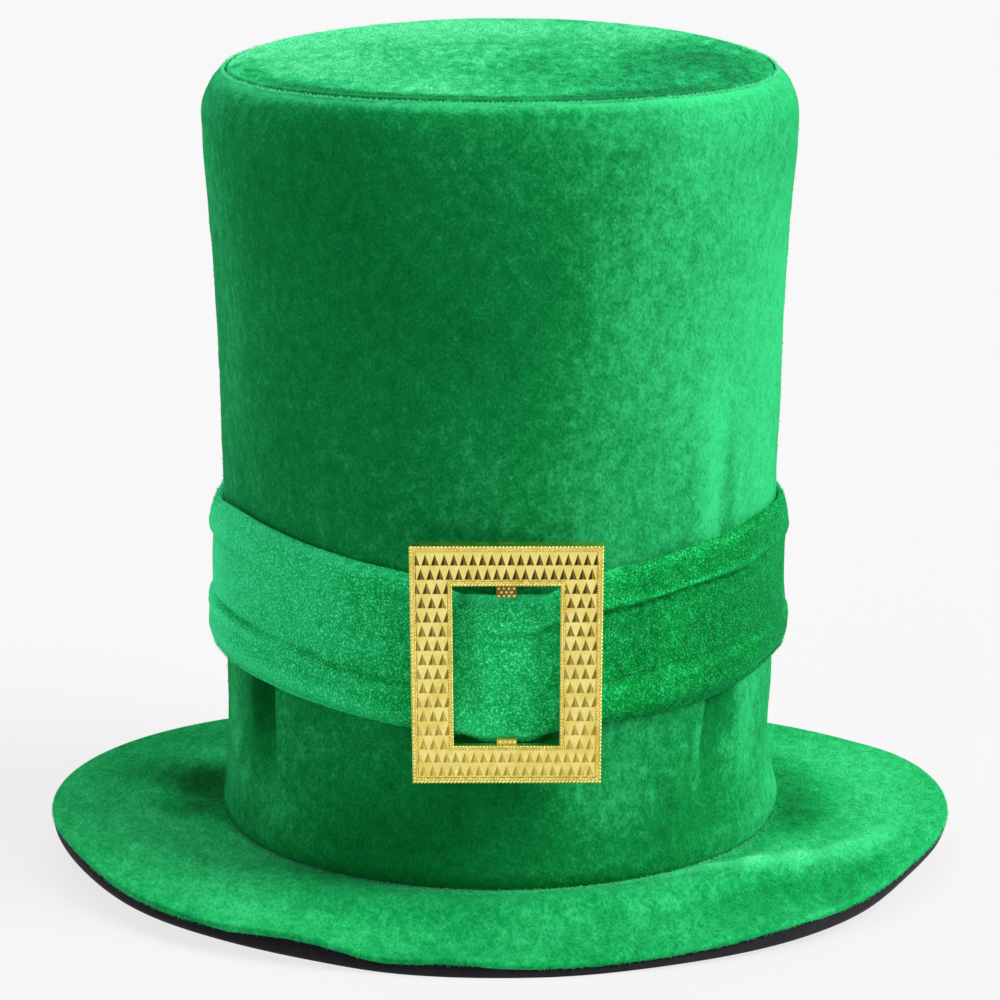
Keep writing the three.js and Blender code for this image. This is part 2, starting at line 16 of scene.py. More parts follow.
import bpy
import numpy as np
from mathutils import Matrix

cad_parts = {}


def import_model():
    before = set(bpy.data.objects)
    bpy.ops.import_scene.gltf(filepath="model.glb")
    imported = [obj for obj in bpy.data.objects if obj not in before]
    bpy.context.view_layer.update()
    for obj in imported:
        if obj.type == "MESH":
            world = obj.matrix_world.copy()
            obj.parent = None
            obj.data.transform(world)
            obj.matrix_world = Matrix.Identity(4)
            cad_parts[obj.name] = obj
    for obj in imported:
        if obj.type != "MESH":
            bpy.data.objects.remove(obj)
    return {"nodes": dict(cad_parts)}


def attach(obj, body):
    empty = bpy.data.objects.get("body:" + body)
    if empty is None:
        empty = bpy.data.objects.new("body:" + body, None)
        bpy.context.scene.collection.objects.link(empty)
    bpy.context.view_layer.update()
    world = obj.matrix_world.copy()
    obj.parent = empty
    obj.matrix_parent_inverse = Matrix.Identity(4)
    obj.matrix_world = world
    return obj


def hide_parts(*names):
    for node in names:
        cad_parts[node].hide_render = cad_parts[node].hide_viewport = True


LOG = logging.getLogger("leprechaun_hat")
MM = 0.001
FRONT = 270.0
BODY = "root"
# Mesh attribute that holds the painted light and shade of the pile.
PAINTED_LIGHT = "painted_light"

Array = np.ndarray
Colour = tuple[float, float, float]
Value = Union[bpy.types.NodeSocket, float, Sequence[float]]


# Tables of the hat's forms, and of the painted light and shade on its pile


class Fold(NamedTuple):
    """A crease or soft dent in the crown, by azimuth and share of the crown's height.

    The slant is how many degrees it drifts round the crown over the crown's whole height.
    """

    azimuth: float
    up: float
    spread: float
    reach: float
    depth: float
    slant: float = 0.0


class Brushed(NamedTuple):
    """An area of painted light on the pile, or of painted shade where its amount is below 0, by azimuth
    and share of the way along.
    """

    azimuth: float
    along: float
    spread: float
    reach: float
    amount: float


class Swell(NamedTuple):
    """A low swell or hollow of the brim, by azimuth and share of the way across."""

    azimuth: float
    across: float
    spread: float
    reach: float
    height: float


class RimRow(NamedTuple):
    """How high the rim stands, and how much taller the lining's edge is, at one azimuth."""

    azimuth: float
    lift: float
    edge: float


class BandRow(NamedTuple):
    """How far the band has slid down, how far its hem curls under, and its creases' depths."""

    azimuth: float
    dip: float
    hem: float
    upper: float
    lower: float


class BandPoint(NamedTuple):
    """One point of the band's section: shares of its height, hem and stand-off."""

    up: float
    under: float
    out: float


def rows_of(kind: type, rows: Sequence[Sequence[float]]) -> tuple:
    """Gives the plain rows of a table the names of their columns."""
    return tuple(kind(*row) for row in rows)


CROWN_PROFILE = (
    (0.0, 0.02), (0.014, 0.27), (0.05, 0.18), (0.1, 0.04), (0.16, -0.01), (0.225, 0.0),
    (0.345, 0.01), (0.456, 0.1), (0.585, 0.28), (0.714, 0.43), (0.842, 0.66), (0.946, 0.92),
    (1.0, 1.0),
)

CROWN_FOLDS = rows_of(Fold, (
    (213.2, 0.19, 6.5, 0.1, 0.85), (226, 0.14, 6, 0.08, -0.3), (308, 0.17, 5, 0.11, -0.35),
    (320.5, 0.21, 7.0, 0.1, 0.68, 35), (327, 0.5, 9, 0.07, 0.3), (348, 0.13, 9, 0.07, 0.25),
    (300, 0.55, 12, 0.2, 0.25), (200, 0.75, 16, 0.16, 0.25),
))

CROWN_RIPPLES = rows_of(Fold, (
    (318.0, 0.21, 1.5, 0.08, 0.3, 25), (315.4, 0.2, 1.9, 0.08, -0.28, 22),
    (329, 0.22, 4.0, 0.07, -0.3, 10), (311, 0.12, 4.0, 0.05, 0.18, -40),
    (305, 0.1, 3.0, 0.05, 0.2, -50), (215.2, 0.21, 1.5, 0.07, 0.35, -6),
    (217.9, 0.2, 1.6, 0.08, -0.45, -8), (204, 0.2, 5.0, 0.07, 0.3, -20),
    (202, 0.105, 2.4, 0.04, -0.6, -145), (236, 0.17, 5.0, 0.05, 0.14), (0, 0.18, 40.0, 0.09, 0.2),
    (0, 0.115, 34.0, 0.04, 0.36), (350, 0.035, 16.0, 0.014, -0.2), (180, 0.18, 40.0, 0.09, -0.22),
    (180, 0.55, 40.0, 0.14, 0.18), (309, 0.52, 3.5, 0.22, 0.16, 8), (315, 0.5, 3.0, 0.2, -0.16, 8),
    (321, 0.48, 3.0, 0.16, 0.2, 8), (333, 0.5, 3.0, 0.12, -0.12), (240, 0.55, 7.0, 0.2, -0.12),
    (262, 0.62, 9.0, 0.16, 0.16), (286, 0.7, 7.0, 0.2, -0.12), (30, 0.4, 10.0, 0.2, 0.25),
    (75, 0.6, 14.0, 0.18, 0.25), (120, 0.35, 9.0, 0.16, 0.25), (160, 0.6, 12.0, 0.2, -0.2),
    (50, 0.16, 6.0, 0.1, 0.6, 20), (105, 0.15, 5.0, 0.09, 0.5, -15),
    (145, 0.17, 6.0, 0.1, 0.55, 10),
))

# Painted light and shade on the crown's pile: light on its right side and along its shoulder, shade in
# its creases and low down.
CROWN_PAINTED_LIGHT = rows_of(Brushed, (
    (333, 0.6, 31, 1.2, 0.42), (245, 0.5, 32, 0.9, -0.1), (225, 0.85, 22, 0.12, -0.1),
    (270, 1.0, 50, 0.05, 0.05), (268, 0.06, 30, 0.06, -0.25), (320, 0.05, 16, 0.05, -0.25),
    (312, 0.16, 12, 0.12, -0.32), (338, 0.13, 16, 0.12, -0.3), (255, 1.066, 62, 0.012, 0.6),
    (225, 1.066, 34, 0.02, 0.2), (291, 0.6, 8, 0.5, 0.1), (270, 0.55, 12, 0.4, 0.04),
    (336, 0.97, 20, 0.06, -0.12), (205, 0.1, 14, 0.1, 0.1), (200, 0.97, 22, 0.06, -0.08),
    (322.0, 0.24, 3.6, 0.045, -0.5), (318.5, 0.16, 2.8, 0.05, -0.22),
    (315.0, 0.17, 1.5, 0.07, 0.18), (331, 0.16, 3.5, 0.05, 0.12), (294, 0.1, 10, 0.04, 0.12),
    (211.3, 0.22, 5.0, 0.06, -0.85), (218.2, 0.2, 1.6, 0.06, 0.2), (196, 0.14, 5.0, 0.1, 0.2),
    (199.5, 0.125, 1.6, 0.02, 0.25), (204.5, 0.09, 1.6, 0.02, 0.25), (217, 0.05, 12, 0.06, 0.22),
    (192, 0.5, 8, 0.9, 0.08), (318, 0.5, 2.5, 0.12, 0.15), (324, 0.47, 2.5, 0.1, -0.2),
    (310, 0.5, 2.5, 0.14, -0.1), (262, 0.8, 20, 0.12, -0.12), (262, 0.95, 40, 0.05, -0.06),
    (70, 0.5, 60, 0.8, 0.15), (150, 0.4, 40, 0.6, -0.1),
))

# Painted light and shade on the tip's pile, with painted shade along the seam at the front.
TIP_PAINTED_LIGHT = rows_of(Brushed, (
    (185, 0.6, 50, 0.5, 0.2), (95, 0.85, 50, 0.25, 0.45), (345, 0.8, 36, 0.32, -0.46),
    (12, 0.72, 24, 0.2, -0.42), (300, 0.5, 30, 0.3, -0.05), (222, 0.93, 34, 0.05, -0.6),
    (268, 0.97, 58, 0.11, -0.8), (270, 0.985, 60, 0.025, -0.3),
))

# Painted light and shade on the brim's pile: light along its ridge on the right, shade in its hollows.
BRIM_PAINTED_LIGHT = rows_of(Brushed, (
    (308, 0.08, 5, 0.05, 0.4), (314, 0.15, 4, 0.06, 0.55), (320, 0.27, 4, 0.07, 0.65),
    (326, 0.42, 4, 0.08, 0.65), (332, 0.57, 4, 0.08, 0.55), (338, 0.68, 5, 0.09, 0.35),
    (314, 0.56, 9, 0.14, -0.28), (323, 0.78, 7, 0.1, -0.3), (330, 0.3, 12, 0.1, 0.15),
    (352, 0.7, 20, 0.25, 0.1), (316, 0.3, 14, 0.3, 0.12), (10, 0.13, 20, 0.16, -0.45),
    (352, 0.16, 9, 0.14, -0.3), (25, 0.6, 30, 0.3, 0.2), (168, 0.14, 10, 0.2, -1.1),
    (186, 0.05, 8, 0.1, -0.5), (183, 0.24, 4, 0.14, -0.45), (163, 0.42, 7, 0.25, -0.5),
    (152, 0.3, 7, 0.3, 0.2), (205, 0.6, 32, 0.5, 0.16), (238, 0.75, 25, 0.2, 0.12),
    (262, 0.02, 50, 0.04, 0.3), (275, 0.6, 20, 0.3, 0.06),
))

# Painted light and shade on the band: light on its left, shade on its right and in its creases.
BAND_PAINTED_LIGHT = rows_of(Brushed, (
    (186, 0.5, 20, 1.0, 0.98), (226, 0.5, 20, 1.0, 0.42), (246, 0.5, 7, 1.0, -0.14),
    (264, 0.5, 4, 1.0, 0.3), (274, 0.5, 6, 1.0, 0.16), (206, 0.725, 6, 0.014, -0.55),
    (204, 0.262, 10, 0.014, -0.6), (206, 0.2, 20, 0.022, 0.25), (240, 0.24, 10, 0.035, -0.3),
    (312, 0.5, 22, 1.0, -0.6), (347, 0.5, 22, 1.0, -0.65), (222, 0.97, 40, 0.03, 0.4),
    (215, 0.03, 40, 0.04, 0.3), (310, 0.97, 40, 0.03, 0.4), (308, 0.78, 20, 0.02, 0.35),
    (310, 0.16, 30, 0.02, 0.25), (268, 0.97, 14, 0.04, 0.1), (268, 0.03, 14, 0.06, 0.1),
))

RIM = rows_of(RimRow, (
    (0, 0.97, -0.3), (12, 0.82, -0.1), (23, 0.66, -0.05), (34, 0.4, 0.0), (45, 0.22, 0.05),
    (66, 0.05, -0.05), (82, 0.0, 0.0), (98, 0.0, 0.05), (112, 0.12, -0.05), (135, 0.43, 0.05),
    (150, 0.65, 0.0), (165, 0.84, -0.1), (180, 1.0, -0.25), (205, 0.86, 0.25), (220, 0.56, 0.0),
    (234, 0.4, 0.0), (246, 0.22, 0.6), (256, 0.04, -0.1), (264, 0.0, 0.12), (276, 0.0, -0.28),
    (290, 0.1, -0.2), (309, 0.28, 0.3), (320, 0.48, 0.1), (332, 0.9, -0.2), (345, 1.0, -0.25),
))

BRIM_SWELLS = rows_of(Swell, (
    (302, 0.28, 30, 0.26, 1.0), (238, 0.35, 26, 0.3, 0.45), (196, 0.3, 22, 0.26, -0.8),
    (345, 0.32, 22, 0.28, -0.35), (60, 0.35, 30, 0.3, 0.4), (130, 0.35, 30, 0.3, 0.3),
))

BRIM_RIDGE = rows_of(Swell, (
    (307, 0.06, 4, 0.1, 0.3), (313, 0.14, 4, 0.12, 0.5), (319, 0.27, 4, 0.15, 0.7),
    (325, 0.42, 4, 0.16, 0.75), (331, 0.57, 4, 0.17, 0.6), (337, 0.68, 4.5, 0.17, 0.35),
    (169, 0.14, 10, 0.2, -0.75), (177, 0.26, 4, 0.2, 0.25), (160, 0.25, 6, 0.2, 0.4),
))

BAND_WAY = rows_of(BandRow, (
    (0, 0.15, 1.0, 0.4, 0.35), (90, 0.35, 1.0, 0.4, 0.4), (180, 0.07, 1.0, 0.6, 1.0),
    (208, 0.02, 1.0, 0.6, 0.9), (225, 0.2, 0.9, 0.15, 0.5), (240, 0.45, 0.7, 0.1, 0.35),
    (253, 0.66, 0.5, 0.1, 0.4), (263, 0.93, 0.1, 0.1, 0.1), (267, 1.0, 0.05, 0.2, 0.05),
    (275, 1.0, 0.05, 0.8, 0.4), (280, 0.9, 0.1, 0.8, 0.2), (290, 0.62, 0.5, 1.0, 0.6),
    (305, 0.4, 0.8, 1.0, 0.7), (320, 0.18, 1.0, 1.0, 0.5), (338, 0.02, 1.0, 0.6, 0.4),
))

BAND_OUTSIDE = rows_of(BandPoint, (
    (0.0, 1.0, 0.14), (0.0, 0.5, 0.72), (0.01, 0.1, 1.02), (0.1, 0.0, 1.08), (0.19, 0.0, 0.96),
    (0.25, 0.0, 0.88), (0.33, 0.0, 0.84), (0.52, 0.0, 0.8), (0.71, 0.0, 0.83), (0.78, 0.0, 0.92),
    (0.88, 0.0, 0.88), (0.955, 0.0, 0.58), (1.0, 0.0, 0.22),
))

BAND_INSIDE = rows_of(BandPoint, (
    (0.99, 0.0, 0.06), (0.88, 0.0, 0.08), (0.68, 0.0, 0.36), (0.3, 0.0, 0.4), (0.03, 0.2, 0.12),
))


@dataclass(frozen=True)
class HatSizes:
    """Sizes in millimetres that more than one piece of the hat follows."""

    seam_gap: float = 0.3
    head_width: float = 179
    head_depth: float = 199
    crown_wall: float = 3
    crown_height: float = 256.5
    shoulder_width: float = 198.8
    shoulder_rise: float = 16
    shoulder_tuck: float = 13
    shoulder_turn: float = 65
    top_side_dip: float = 2.6
    fold_depth: float = 3.2
    tip_wall: float = 3
    tip_dome: float = 1.8
    brim_width: float = 306
    brim_depth: float = 318
    brim_upper: float = 2.2
    brim_lining: float = 3.4
    seam_height: float = 12
    side_lift: float = 9.5
    swell_height: float = 3
    rim_strip: float = 0.88
    band_height: float = 47.5
    band_hem: float = 6.5
    band_rise: float = 65
    band_dip: float = 12.4
    band_standoff: float = 6
    band_cloth: float = 2.4
    buckle_width: float = 61
    buckle_side: float = 13.5
    buckle_end: float = 12.6
    buckle_thick: float = 5
    buckle_offset: float = 2.35
    buckle_lean: float = 2.5
    bar_width: float = 6.3
    bar_thick: float = 1.6
    bar_setback: float = 1.8
    bar_tab: float = 4
    bar_strut: float = 1.8

    @property
    def base_width(self) -> float:
        """Half width of the crown at the brim's seam."""
        return self.head_width / 2 + self.crown_wall

    @property
    def depth_extra(self) -> float:
        """How much deeper than wide the crown is, on each side."""
        return (self.head_depth - self.head_width) / 2

    @property
    def shoulder_height(self) -> float:
        """Height of the shoulder's roll above the foot of the shoulder."""
        return self.shoulder_rise * math.sin(math.radians(self.shoulder_turn))

    @property
    def tip_width(self) -> float:
        """Half width at the seam between the crown's side and its tip."""
        turned = 1 - math.cos(math.radians(self.shoulder_turn))
        return self.shoulder_width / 2 - self.shoulder_tuck * turned

    @property
    def band_foot(self) -> float:
        """Height of the band's lower bulge at the sides of the hat."""
        return self.seam_height + self.band_rise

    @property
    def window(self) -> tuple[float, float]:
        """Size of the buckle's window.

        Returns:
            Its half width and half height.
        """
        pinched = self.band_hem * float(around(BAND_WAY, "hem", np.array([FRONT]))[0])
        tall = self.band_height + pinched + self.bar_tab + self.bar_strut + 2 * self.seam_gap
        return self.buckle_width / 2 - self.buckle_side, tall / 2


# Shared mathematics


def ease(share: Array) -> Array:
    """Smooth step from 0 to 1.

    Args:
        share: values, of which those outside 0 to 1 are clipped.

    Returns:
        The eased values.
    """
    t = np.clip(share, 0.0, 1.0)
    return t * t * (3.0 - 2.0 * t)


def bump(distance: Array, half_width: float) -> Array:
    """A smooth bump that is 1 at the middle, a half at its half width, and 0 at twice that."""
    return 1.0 - ease(np.abs(distance) / (2.0 * half_width))


def turn_between(start: float, end: Array) -> Array:
    """Signed angle in degrees from one azimuth to others, from -180 to 180."""
    return np.mod(end - start + 540.0, 360.0) - 180.0


def around(rows: Sequence, column: str, azimuth: Array) -> Array:
    """Reads a column of a table that runs round the hat, as a smooth closed curve.

    Args:
        rows: named tuples with an azimuth each, in rising order from 0.
        column: the name of the column.
        azimuth: azimuths in degrees.

    Returns:
        The column's value at each azimuth.
    """
    places = np.array([row.azimuth for row in rows], float)
    values = np.array([getattr(row, column) for row in rows], float)
    places = np.concatenate([places[-3:] - 360.0, places, places[:3] + 360.0])
    values = np.concatenate([values[-3:], values, values[:3]])
    angle = np.mod(np.asarray(azimuth, float), 360.0)
    return spline(places, values, angle.ravel()).reshape(angle.shape)


def spline(places: Array, values: Array, at: Array) -> Array:
    """Cubic through the points of a curve, with the slope of its neighbours at each.

    Args:
        places: rising parameters of the points.
        values: the points, one row each.
        at: parameters to read the curve at.

    Returns:
        The curve's points.
    """
    places, values, at = (np.asarray(x, float) for x in (places, values, at))
    flat = values.reshape(len(places), -1)
    slopes = np.gradient(flat, places, axis=0)
    k = np.clip(np.searchsorted(places, at, side="right") - 1, 0, len(places) - 2)
    width = (places[k + 1] - places[k])[:, None]
    t = (at[:, None] - places[k][:, None]) / width
    h00, h10 = 2 * t**3 - 3 * t**2 + 1, t**3 - 2 * t**2 + t
    h01, h11 = -2 * t**3 + 3 * t**2, t**3 - t**2
    found = h00 * flat[k] + h10 * width * slopes[k] + h01 * flat[k + 1] + h11 * width * slopes[k + 1]
    return found.reshape((len(at),) + values.shape[1:])


def oval(azimuth: Array, width: Array, extra: Array, height: Array) -> Array:
    """Points on upright ovals.

    Args:
        azimuth: azimuths in degrees.
        width: half widths.
        extra: what the half depths have more than the half widths.
        height: heights.

    Returns:
        The points, with x, y and z in the last axis.
    """
    angle = np.radians(azimuth)
    x, y, z = np.broadcast_arrays(width * np.cos(angle), (width + extra) * np.sin(angle), height)
    return np.stack([x, y, z], axis=-1)


def even_azimuths(sections: int) -> Array:
    """Evenly spaced azimuths in degrees, as a column."""
    return (np.arange(sections) * 360.0 / sections)[:, None]


def painted_light_of(rows: Sequence[Brushed], azimuth: Array, along: Array) -> Array:
    """Adds up the areas of painted light and shade on a pile cloth.

    Args:
        rows: the areas.
        azimuth: azimuths in degrees.
        along: shares of the way up, or across.

    Returns:
        How much light is painted on the pile, below 0 where shade is painted.
    """
    total = np.zeros(np.broadcast(azimuth, along).shape)
    for row in rows:
        turn = bump(turn_between(row.azimuth, azimuth), row.spread)
        total = total + row.amount * turn * bump(along - row.along, row.reach)
    return total


class ClothNoise:
    """Soft random relief for cloth, the same on every run."""

    def __init__(self, seed: int) -> None:
        """Keeps the seed."""
        self.seed = seed

    def _corner(self, x: Array, y: Array, z: Array) -> Array:
        """Finds the random value at lattice corners.

        Args:
            x: whole numbers of the corners along X.
            y: the same along Y.
            z: the same along Z.

        Returns:
            A value from -1 to 1 for each corner.
        """
        mixed = (x * 374761393 + y * 668265263 + z * 1440662683 + self.seed * 974711) & 0xFFFFFFFF
        mixed = ((mixed ^ (mixed >> 13)) * 1274126177) & 0xFFFFFFFF
        return ((mixed ^ (mixed >> 16)) & 0xFFFF) / 32767.5 - 1.0

    def at(self, points: Array, size: float) -> Array:
        """Reads the relief.

        Args:
            points: points in millimetres, x, y and z in the last axis.
            size: the typical size of its lumps, in millimetres.

        Returns:
            A value from -1 to 1 for each point.
        """
        scaled = points / size
        low = np.floor(scaled).astype(np.int64)
        share = ease(scaled - low)
        total = np.zeros(points.shape[:-1])
        for corner in range(8):
            step = np.array([corner & 1, corner >> 1 & 1, corner >> 2 & 1])
            weight = np.prod(np.where(step == 1, share, 1.0 - share), axis=-1)
            place = low + step
            total += weight * self._corner(place[..., 0], place[..., 1], place[..., 2])
        return total

    def mixed(self, points: Array, layers: Sequence[tuple[float, float]]) -> Array:
        """Adds up layers of relief, each given by its height and the size of its lumps."""
        return sum(height * self.at(points, size) for height, size in layers)


# Meshes


def show(obj: bpy.types.Object) -> None:
    """Links an object to the scene."""
    bpy.context.scene.collection.objects.link(obj)


class MeshParts:
    """Collects closed shapes into the points, faces, slots and painted light and shade of one mesh."""

    def __init__(self) -> None:
        """Starts with nothing."""
        self.points: list[Array] = []
        self.faces: list[list[int]] = []
        self.slots: list[int] = []
        self.painted_light: list[Array] = []
        self.count = 0

    def add(
        self, points: Array, faces: Sequence, slots: Sequence[int] | int = 0,
        painted_light: Array | float = 0.0,
    ) -> None:
        """Adds one shape.

        Args:
            points: its points.
            faces: its faces, by the numbers of its own points.
            slots: a slot number for all its faces, or one for each.
            painted_light: the painted light and shade of the pile, for all its points or for each.
        """
        self.points.append(np.asarray(points, float))
        self.faces.extend([[corner + self.count for corner in face] for face in faces])
        self.slots.extend([slots] * len(faces) if isinstance(slots, int) else list(slots))
        self.painted_light.append(np.broadcast_to(np.asarray(painted_light, float), (len(points),)))
        self.count += len(points)

    def make(self, name: str, materials: Sequence) -> bpy.types.Object:
        """Makes a smooth-shaded mesh object at the origin.

        Args:
            name: the piece's name.
            materials: materials of the piece's slots.

        Returns:
            The object, linked to the scene.
        """
        mesh = bpy.data.meshes.new(name)
        mesh.from_pydata((np.concatenate(self.points) * MM).tolist(), [], self.faces)
        for material in materials:
            mesh.materials.append(material)
        mesh.polygons.foreach_set("material_index", np.array(self.slots, np.int32))
        mesh.polygons.foreach_set("use_smooth", np.ones(len(self.faces), bool))
        # Stores the painted light and shade of each point for the pile material.
        attribute = mesh.attributes.new(PAINTED_LIGHT, "FLOAT", "POINT")
        attribute.data.foreach_set("value", np.concatenate(self.painted_light))
        mesh.update()
        obj = bpy.data.objects.new(name, mesh)
        show(obj)
        return obj


def ring_faces(sections: int, count: int) -> Array:
    """Joins the sections of a closed ring, which are closed loops themselves.

    Args:
        sections: number of sections.
        count: number of points of each.

    Returns:
        The quads, by the numbers of their four points.
    """
    i = np.arange(sections)[:, None]
    k = np.arange(count)[None, :]
    after, above = (i + 1) % sections, (k + 1) % count
    corners = (i * count + k, after * count + k, after * count + above, i * count + above)
    return np.stack(np.broadcast_arrays(*corners), axis=-1).reshape(-1, 4)


def add_ring(parts: MeshParts, grid: Array, row_slots: Array, painted_light: Array | float = 0.0) -> None:
    """Adds a closed ring from a grid of section points.

    Args:
        parts: the mesh that it is added to.
        grid: points by section and row.
        row_slots: slot number of each row of faces.
        painted_light: the painted light and shade of the pile at each point.
    """
    sections, count = grid.shape[:2]
    faces = ring_faces(sections, count).tolist()
    shades = np.broadcast_to(painted_light, (sections, count)).reshape(-1)
    parts.add(grid.reshape(-1, 3), faces, np.tile(row_slots, sections).tolist(), shades)


def add_disc(parts: MeshParts, grid: Array, ends: Array, row_slots: Array, painted_light: Array) -> None:
    """Adds a closed disc from sections that run from the middle below to the middle above.

    Args:
        parts: the mesh that it is added to.
        grid: points by section and row, without the two middle points.
        ends: the middle point below and the one above.
        row_slots: slot number of each row of faces, the two fans included.
        painted_light: the painted light and shade of the pile at each point of the grid.
    """
    sections, count = grid.shape[:2]
    faces = ring_faces(sections, count).reshape(sections, count, 4)[:, :-1].reshape(-1, 4).tolist()
    first = np.arange(sections) * count
    following = np.roll(first, -1)
    low, high = sections * count, sections * count + 1
    fan_low = [[low, b, a] for a, b in zip(first.tolist(), following.tolist())]
    tops = zip((first + count - 1).tolist(), (following + count - 1).tolist())
    fan_high = [[high, a, b] for a, b in tops]
    slots = np.tile(row_slots[1:-1], sections).tolist()
    slots += [int(row_slots[0])] * sections + [int(row_slots[-1])] * sections
    shades = np.concatenate([painted_light.reshape(-1), [0.0, painted_light[:, -1].mean()]])
    parts.add(np.concatenate([grid.reshape(-1, 3), ends]), faces + fan_low + fan_high, slots, shades)


@dataclass(frozen=True)
class Fringe:
    """Loose fibres on a seam, edge or face: their number, size, spread, tone and two seeds; the tone is
    painted light that makes them lighter than the cloth round them.
    """

    count: int
    length: float
    thick: float
    spread: float
    tone: float
    root_seed: int
    seed: int

    def scatter(self) -> tuple[Array, Array]:
        """Random azimuths in degrees round the hat, and random shares from 0 to 1."""
        chance = np.random.default_rng(self.root_seed)
        return chance.uniform(0.0, 360.0, self.count), chance.uniform(0.0, 1.0, self.count)

    def add(self, parts: MeshParts, roots: Array, ways: Array, shades: Array | float = 0.0) -> None:
        """Adds one closed three-sided fibre at each root.

        Args:
            parts: the mesh that they are added to.
            roots: the fibres' roots.
            ways: the direction in which each of them mostly grows.
            shades: the painted light and shade of the cloth round each root.
        """
        chance = np.random.default_rng(self.seed)
        ways = ways / np.linalg.norm(ways, axis=-1, keepdims=True)
        ways = ways + self.spread * chance.normal(size=roots.shape)
        ways = ways / np.linalg.norm(ways, axis=-1, keepdims=True)
        side = np.cross(ways, np.array([0.31, 0.52, 0.79]))
        side = side / np.linalg.norm(side, axis=-1, keepdims=True)
        other = np.cross(ways, side)
        long = self.length * chance.uniform(0.45, 1.25, (len(roots), 1))
        corners = []
        for turn in (0.0, 2 * math.pi / 3, 4 * math.pi / 3):
            corners.append(roots + self.thick * (math.cos(turn) * side + math.sin(turn) * other))
        points = np.stack(corners + [roots + ways * long], axis=1).reshape(-1, 3)
        first = np.arange(len(roots))[:, None] * 4
        sides = ((0, 1, 3), (1, 2, 3), (2, 0, 3), (2, 1, 0))
        faces = np.concatenate([first + np.array(face) for face in sides])
        # Each fibre gets the cloth's painted light, raised by the tone: a painted highlight on the loose
        # fibres.
        tones = self.tone * chance.uniform(0.3, 1.3, len(roots)) + np.broadcast_to(shades, (len(roots),))
        parts.add(points, faces.tolist(), 0, np.repeat(tones, 4))


TIP_SEAM_FUZZ = Fringe(6000, 1.2, 0.15, 0.6, 1.1, root_seed=3, seed=5)
CROWN_NAP = Fringe(11000, 0.85, 0.09, 0.45, 0.32, root_seed=61, seed=63)
TIP_NAP = Fringe(28000, 0.7, 0.11, 0.5, 0.35, root_seed=71, seed=73)
BRIM_SEAM_FUZZ = Fringe(4200, 1.2, 0.13, 0.45, 0.9, root_seed=17, seed=19)
RIM_FUZZ = Fringe(6500, 0.85, 0.11, 0.4, 0.75, root_seed=29, seed=31)
BRIM_NAP = Fringe(17000, 0.95, 0.1, 0.5, 0.38, root_seed=81, seed=83)
BAND_TOP_FUZZ = Fringe(4200, 1.0, 0.12, 0.5, 0.75, root_seed=41, seed=42)
BAND_HEM_FUZZ = replace(BAND_TOP_FUZZ, root_seed=43, seed=44)


def outward(azimuth: Array, out: float, up: float) -> Array:
    """Directions that point out from the hat's axis and up, in these proportions."""
    angle = np.radians(azimuth)
    return np.stack([out * np.cos(angle), out * np.sin(angle), np.full(angle.shape, up)], axis=-1)


def read_grid(grid: Array, azimuth: Array, row: Array) -> Array:
    """Reads points between those of a grid of evenly turned sections.

    Args:
        grid: points by section and row.
        azimuth: azimuths in degrees.
        row: rows, with fractions.

    Returns:
        The points.
    """
    sections = grid.shape[0]
    turn = np.mod(azimuth / 360.0, 1.0) * sections
    i = np.floor(turn).astype(int)
    k = np.minimum(np.floor(row).astype(int), grid.shape[1] - 2)
    across, along = (turn - i)[:, None], (row - k)[:, None]
    near = grid[i % sections, k] * (1 - along) + grid[i % sections, k + 1] * along
    far = grid[(i + 1) % sections, k] * (1 - along) + grid[(i + 1) % sections, k + 1] * along
    return near * (1 - across) + far * across


# Materials


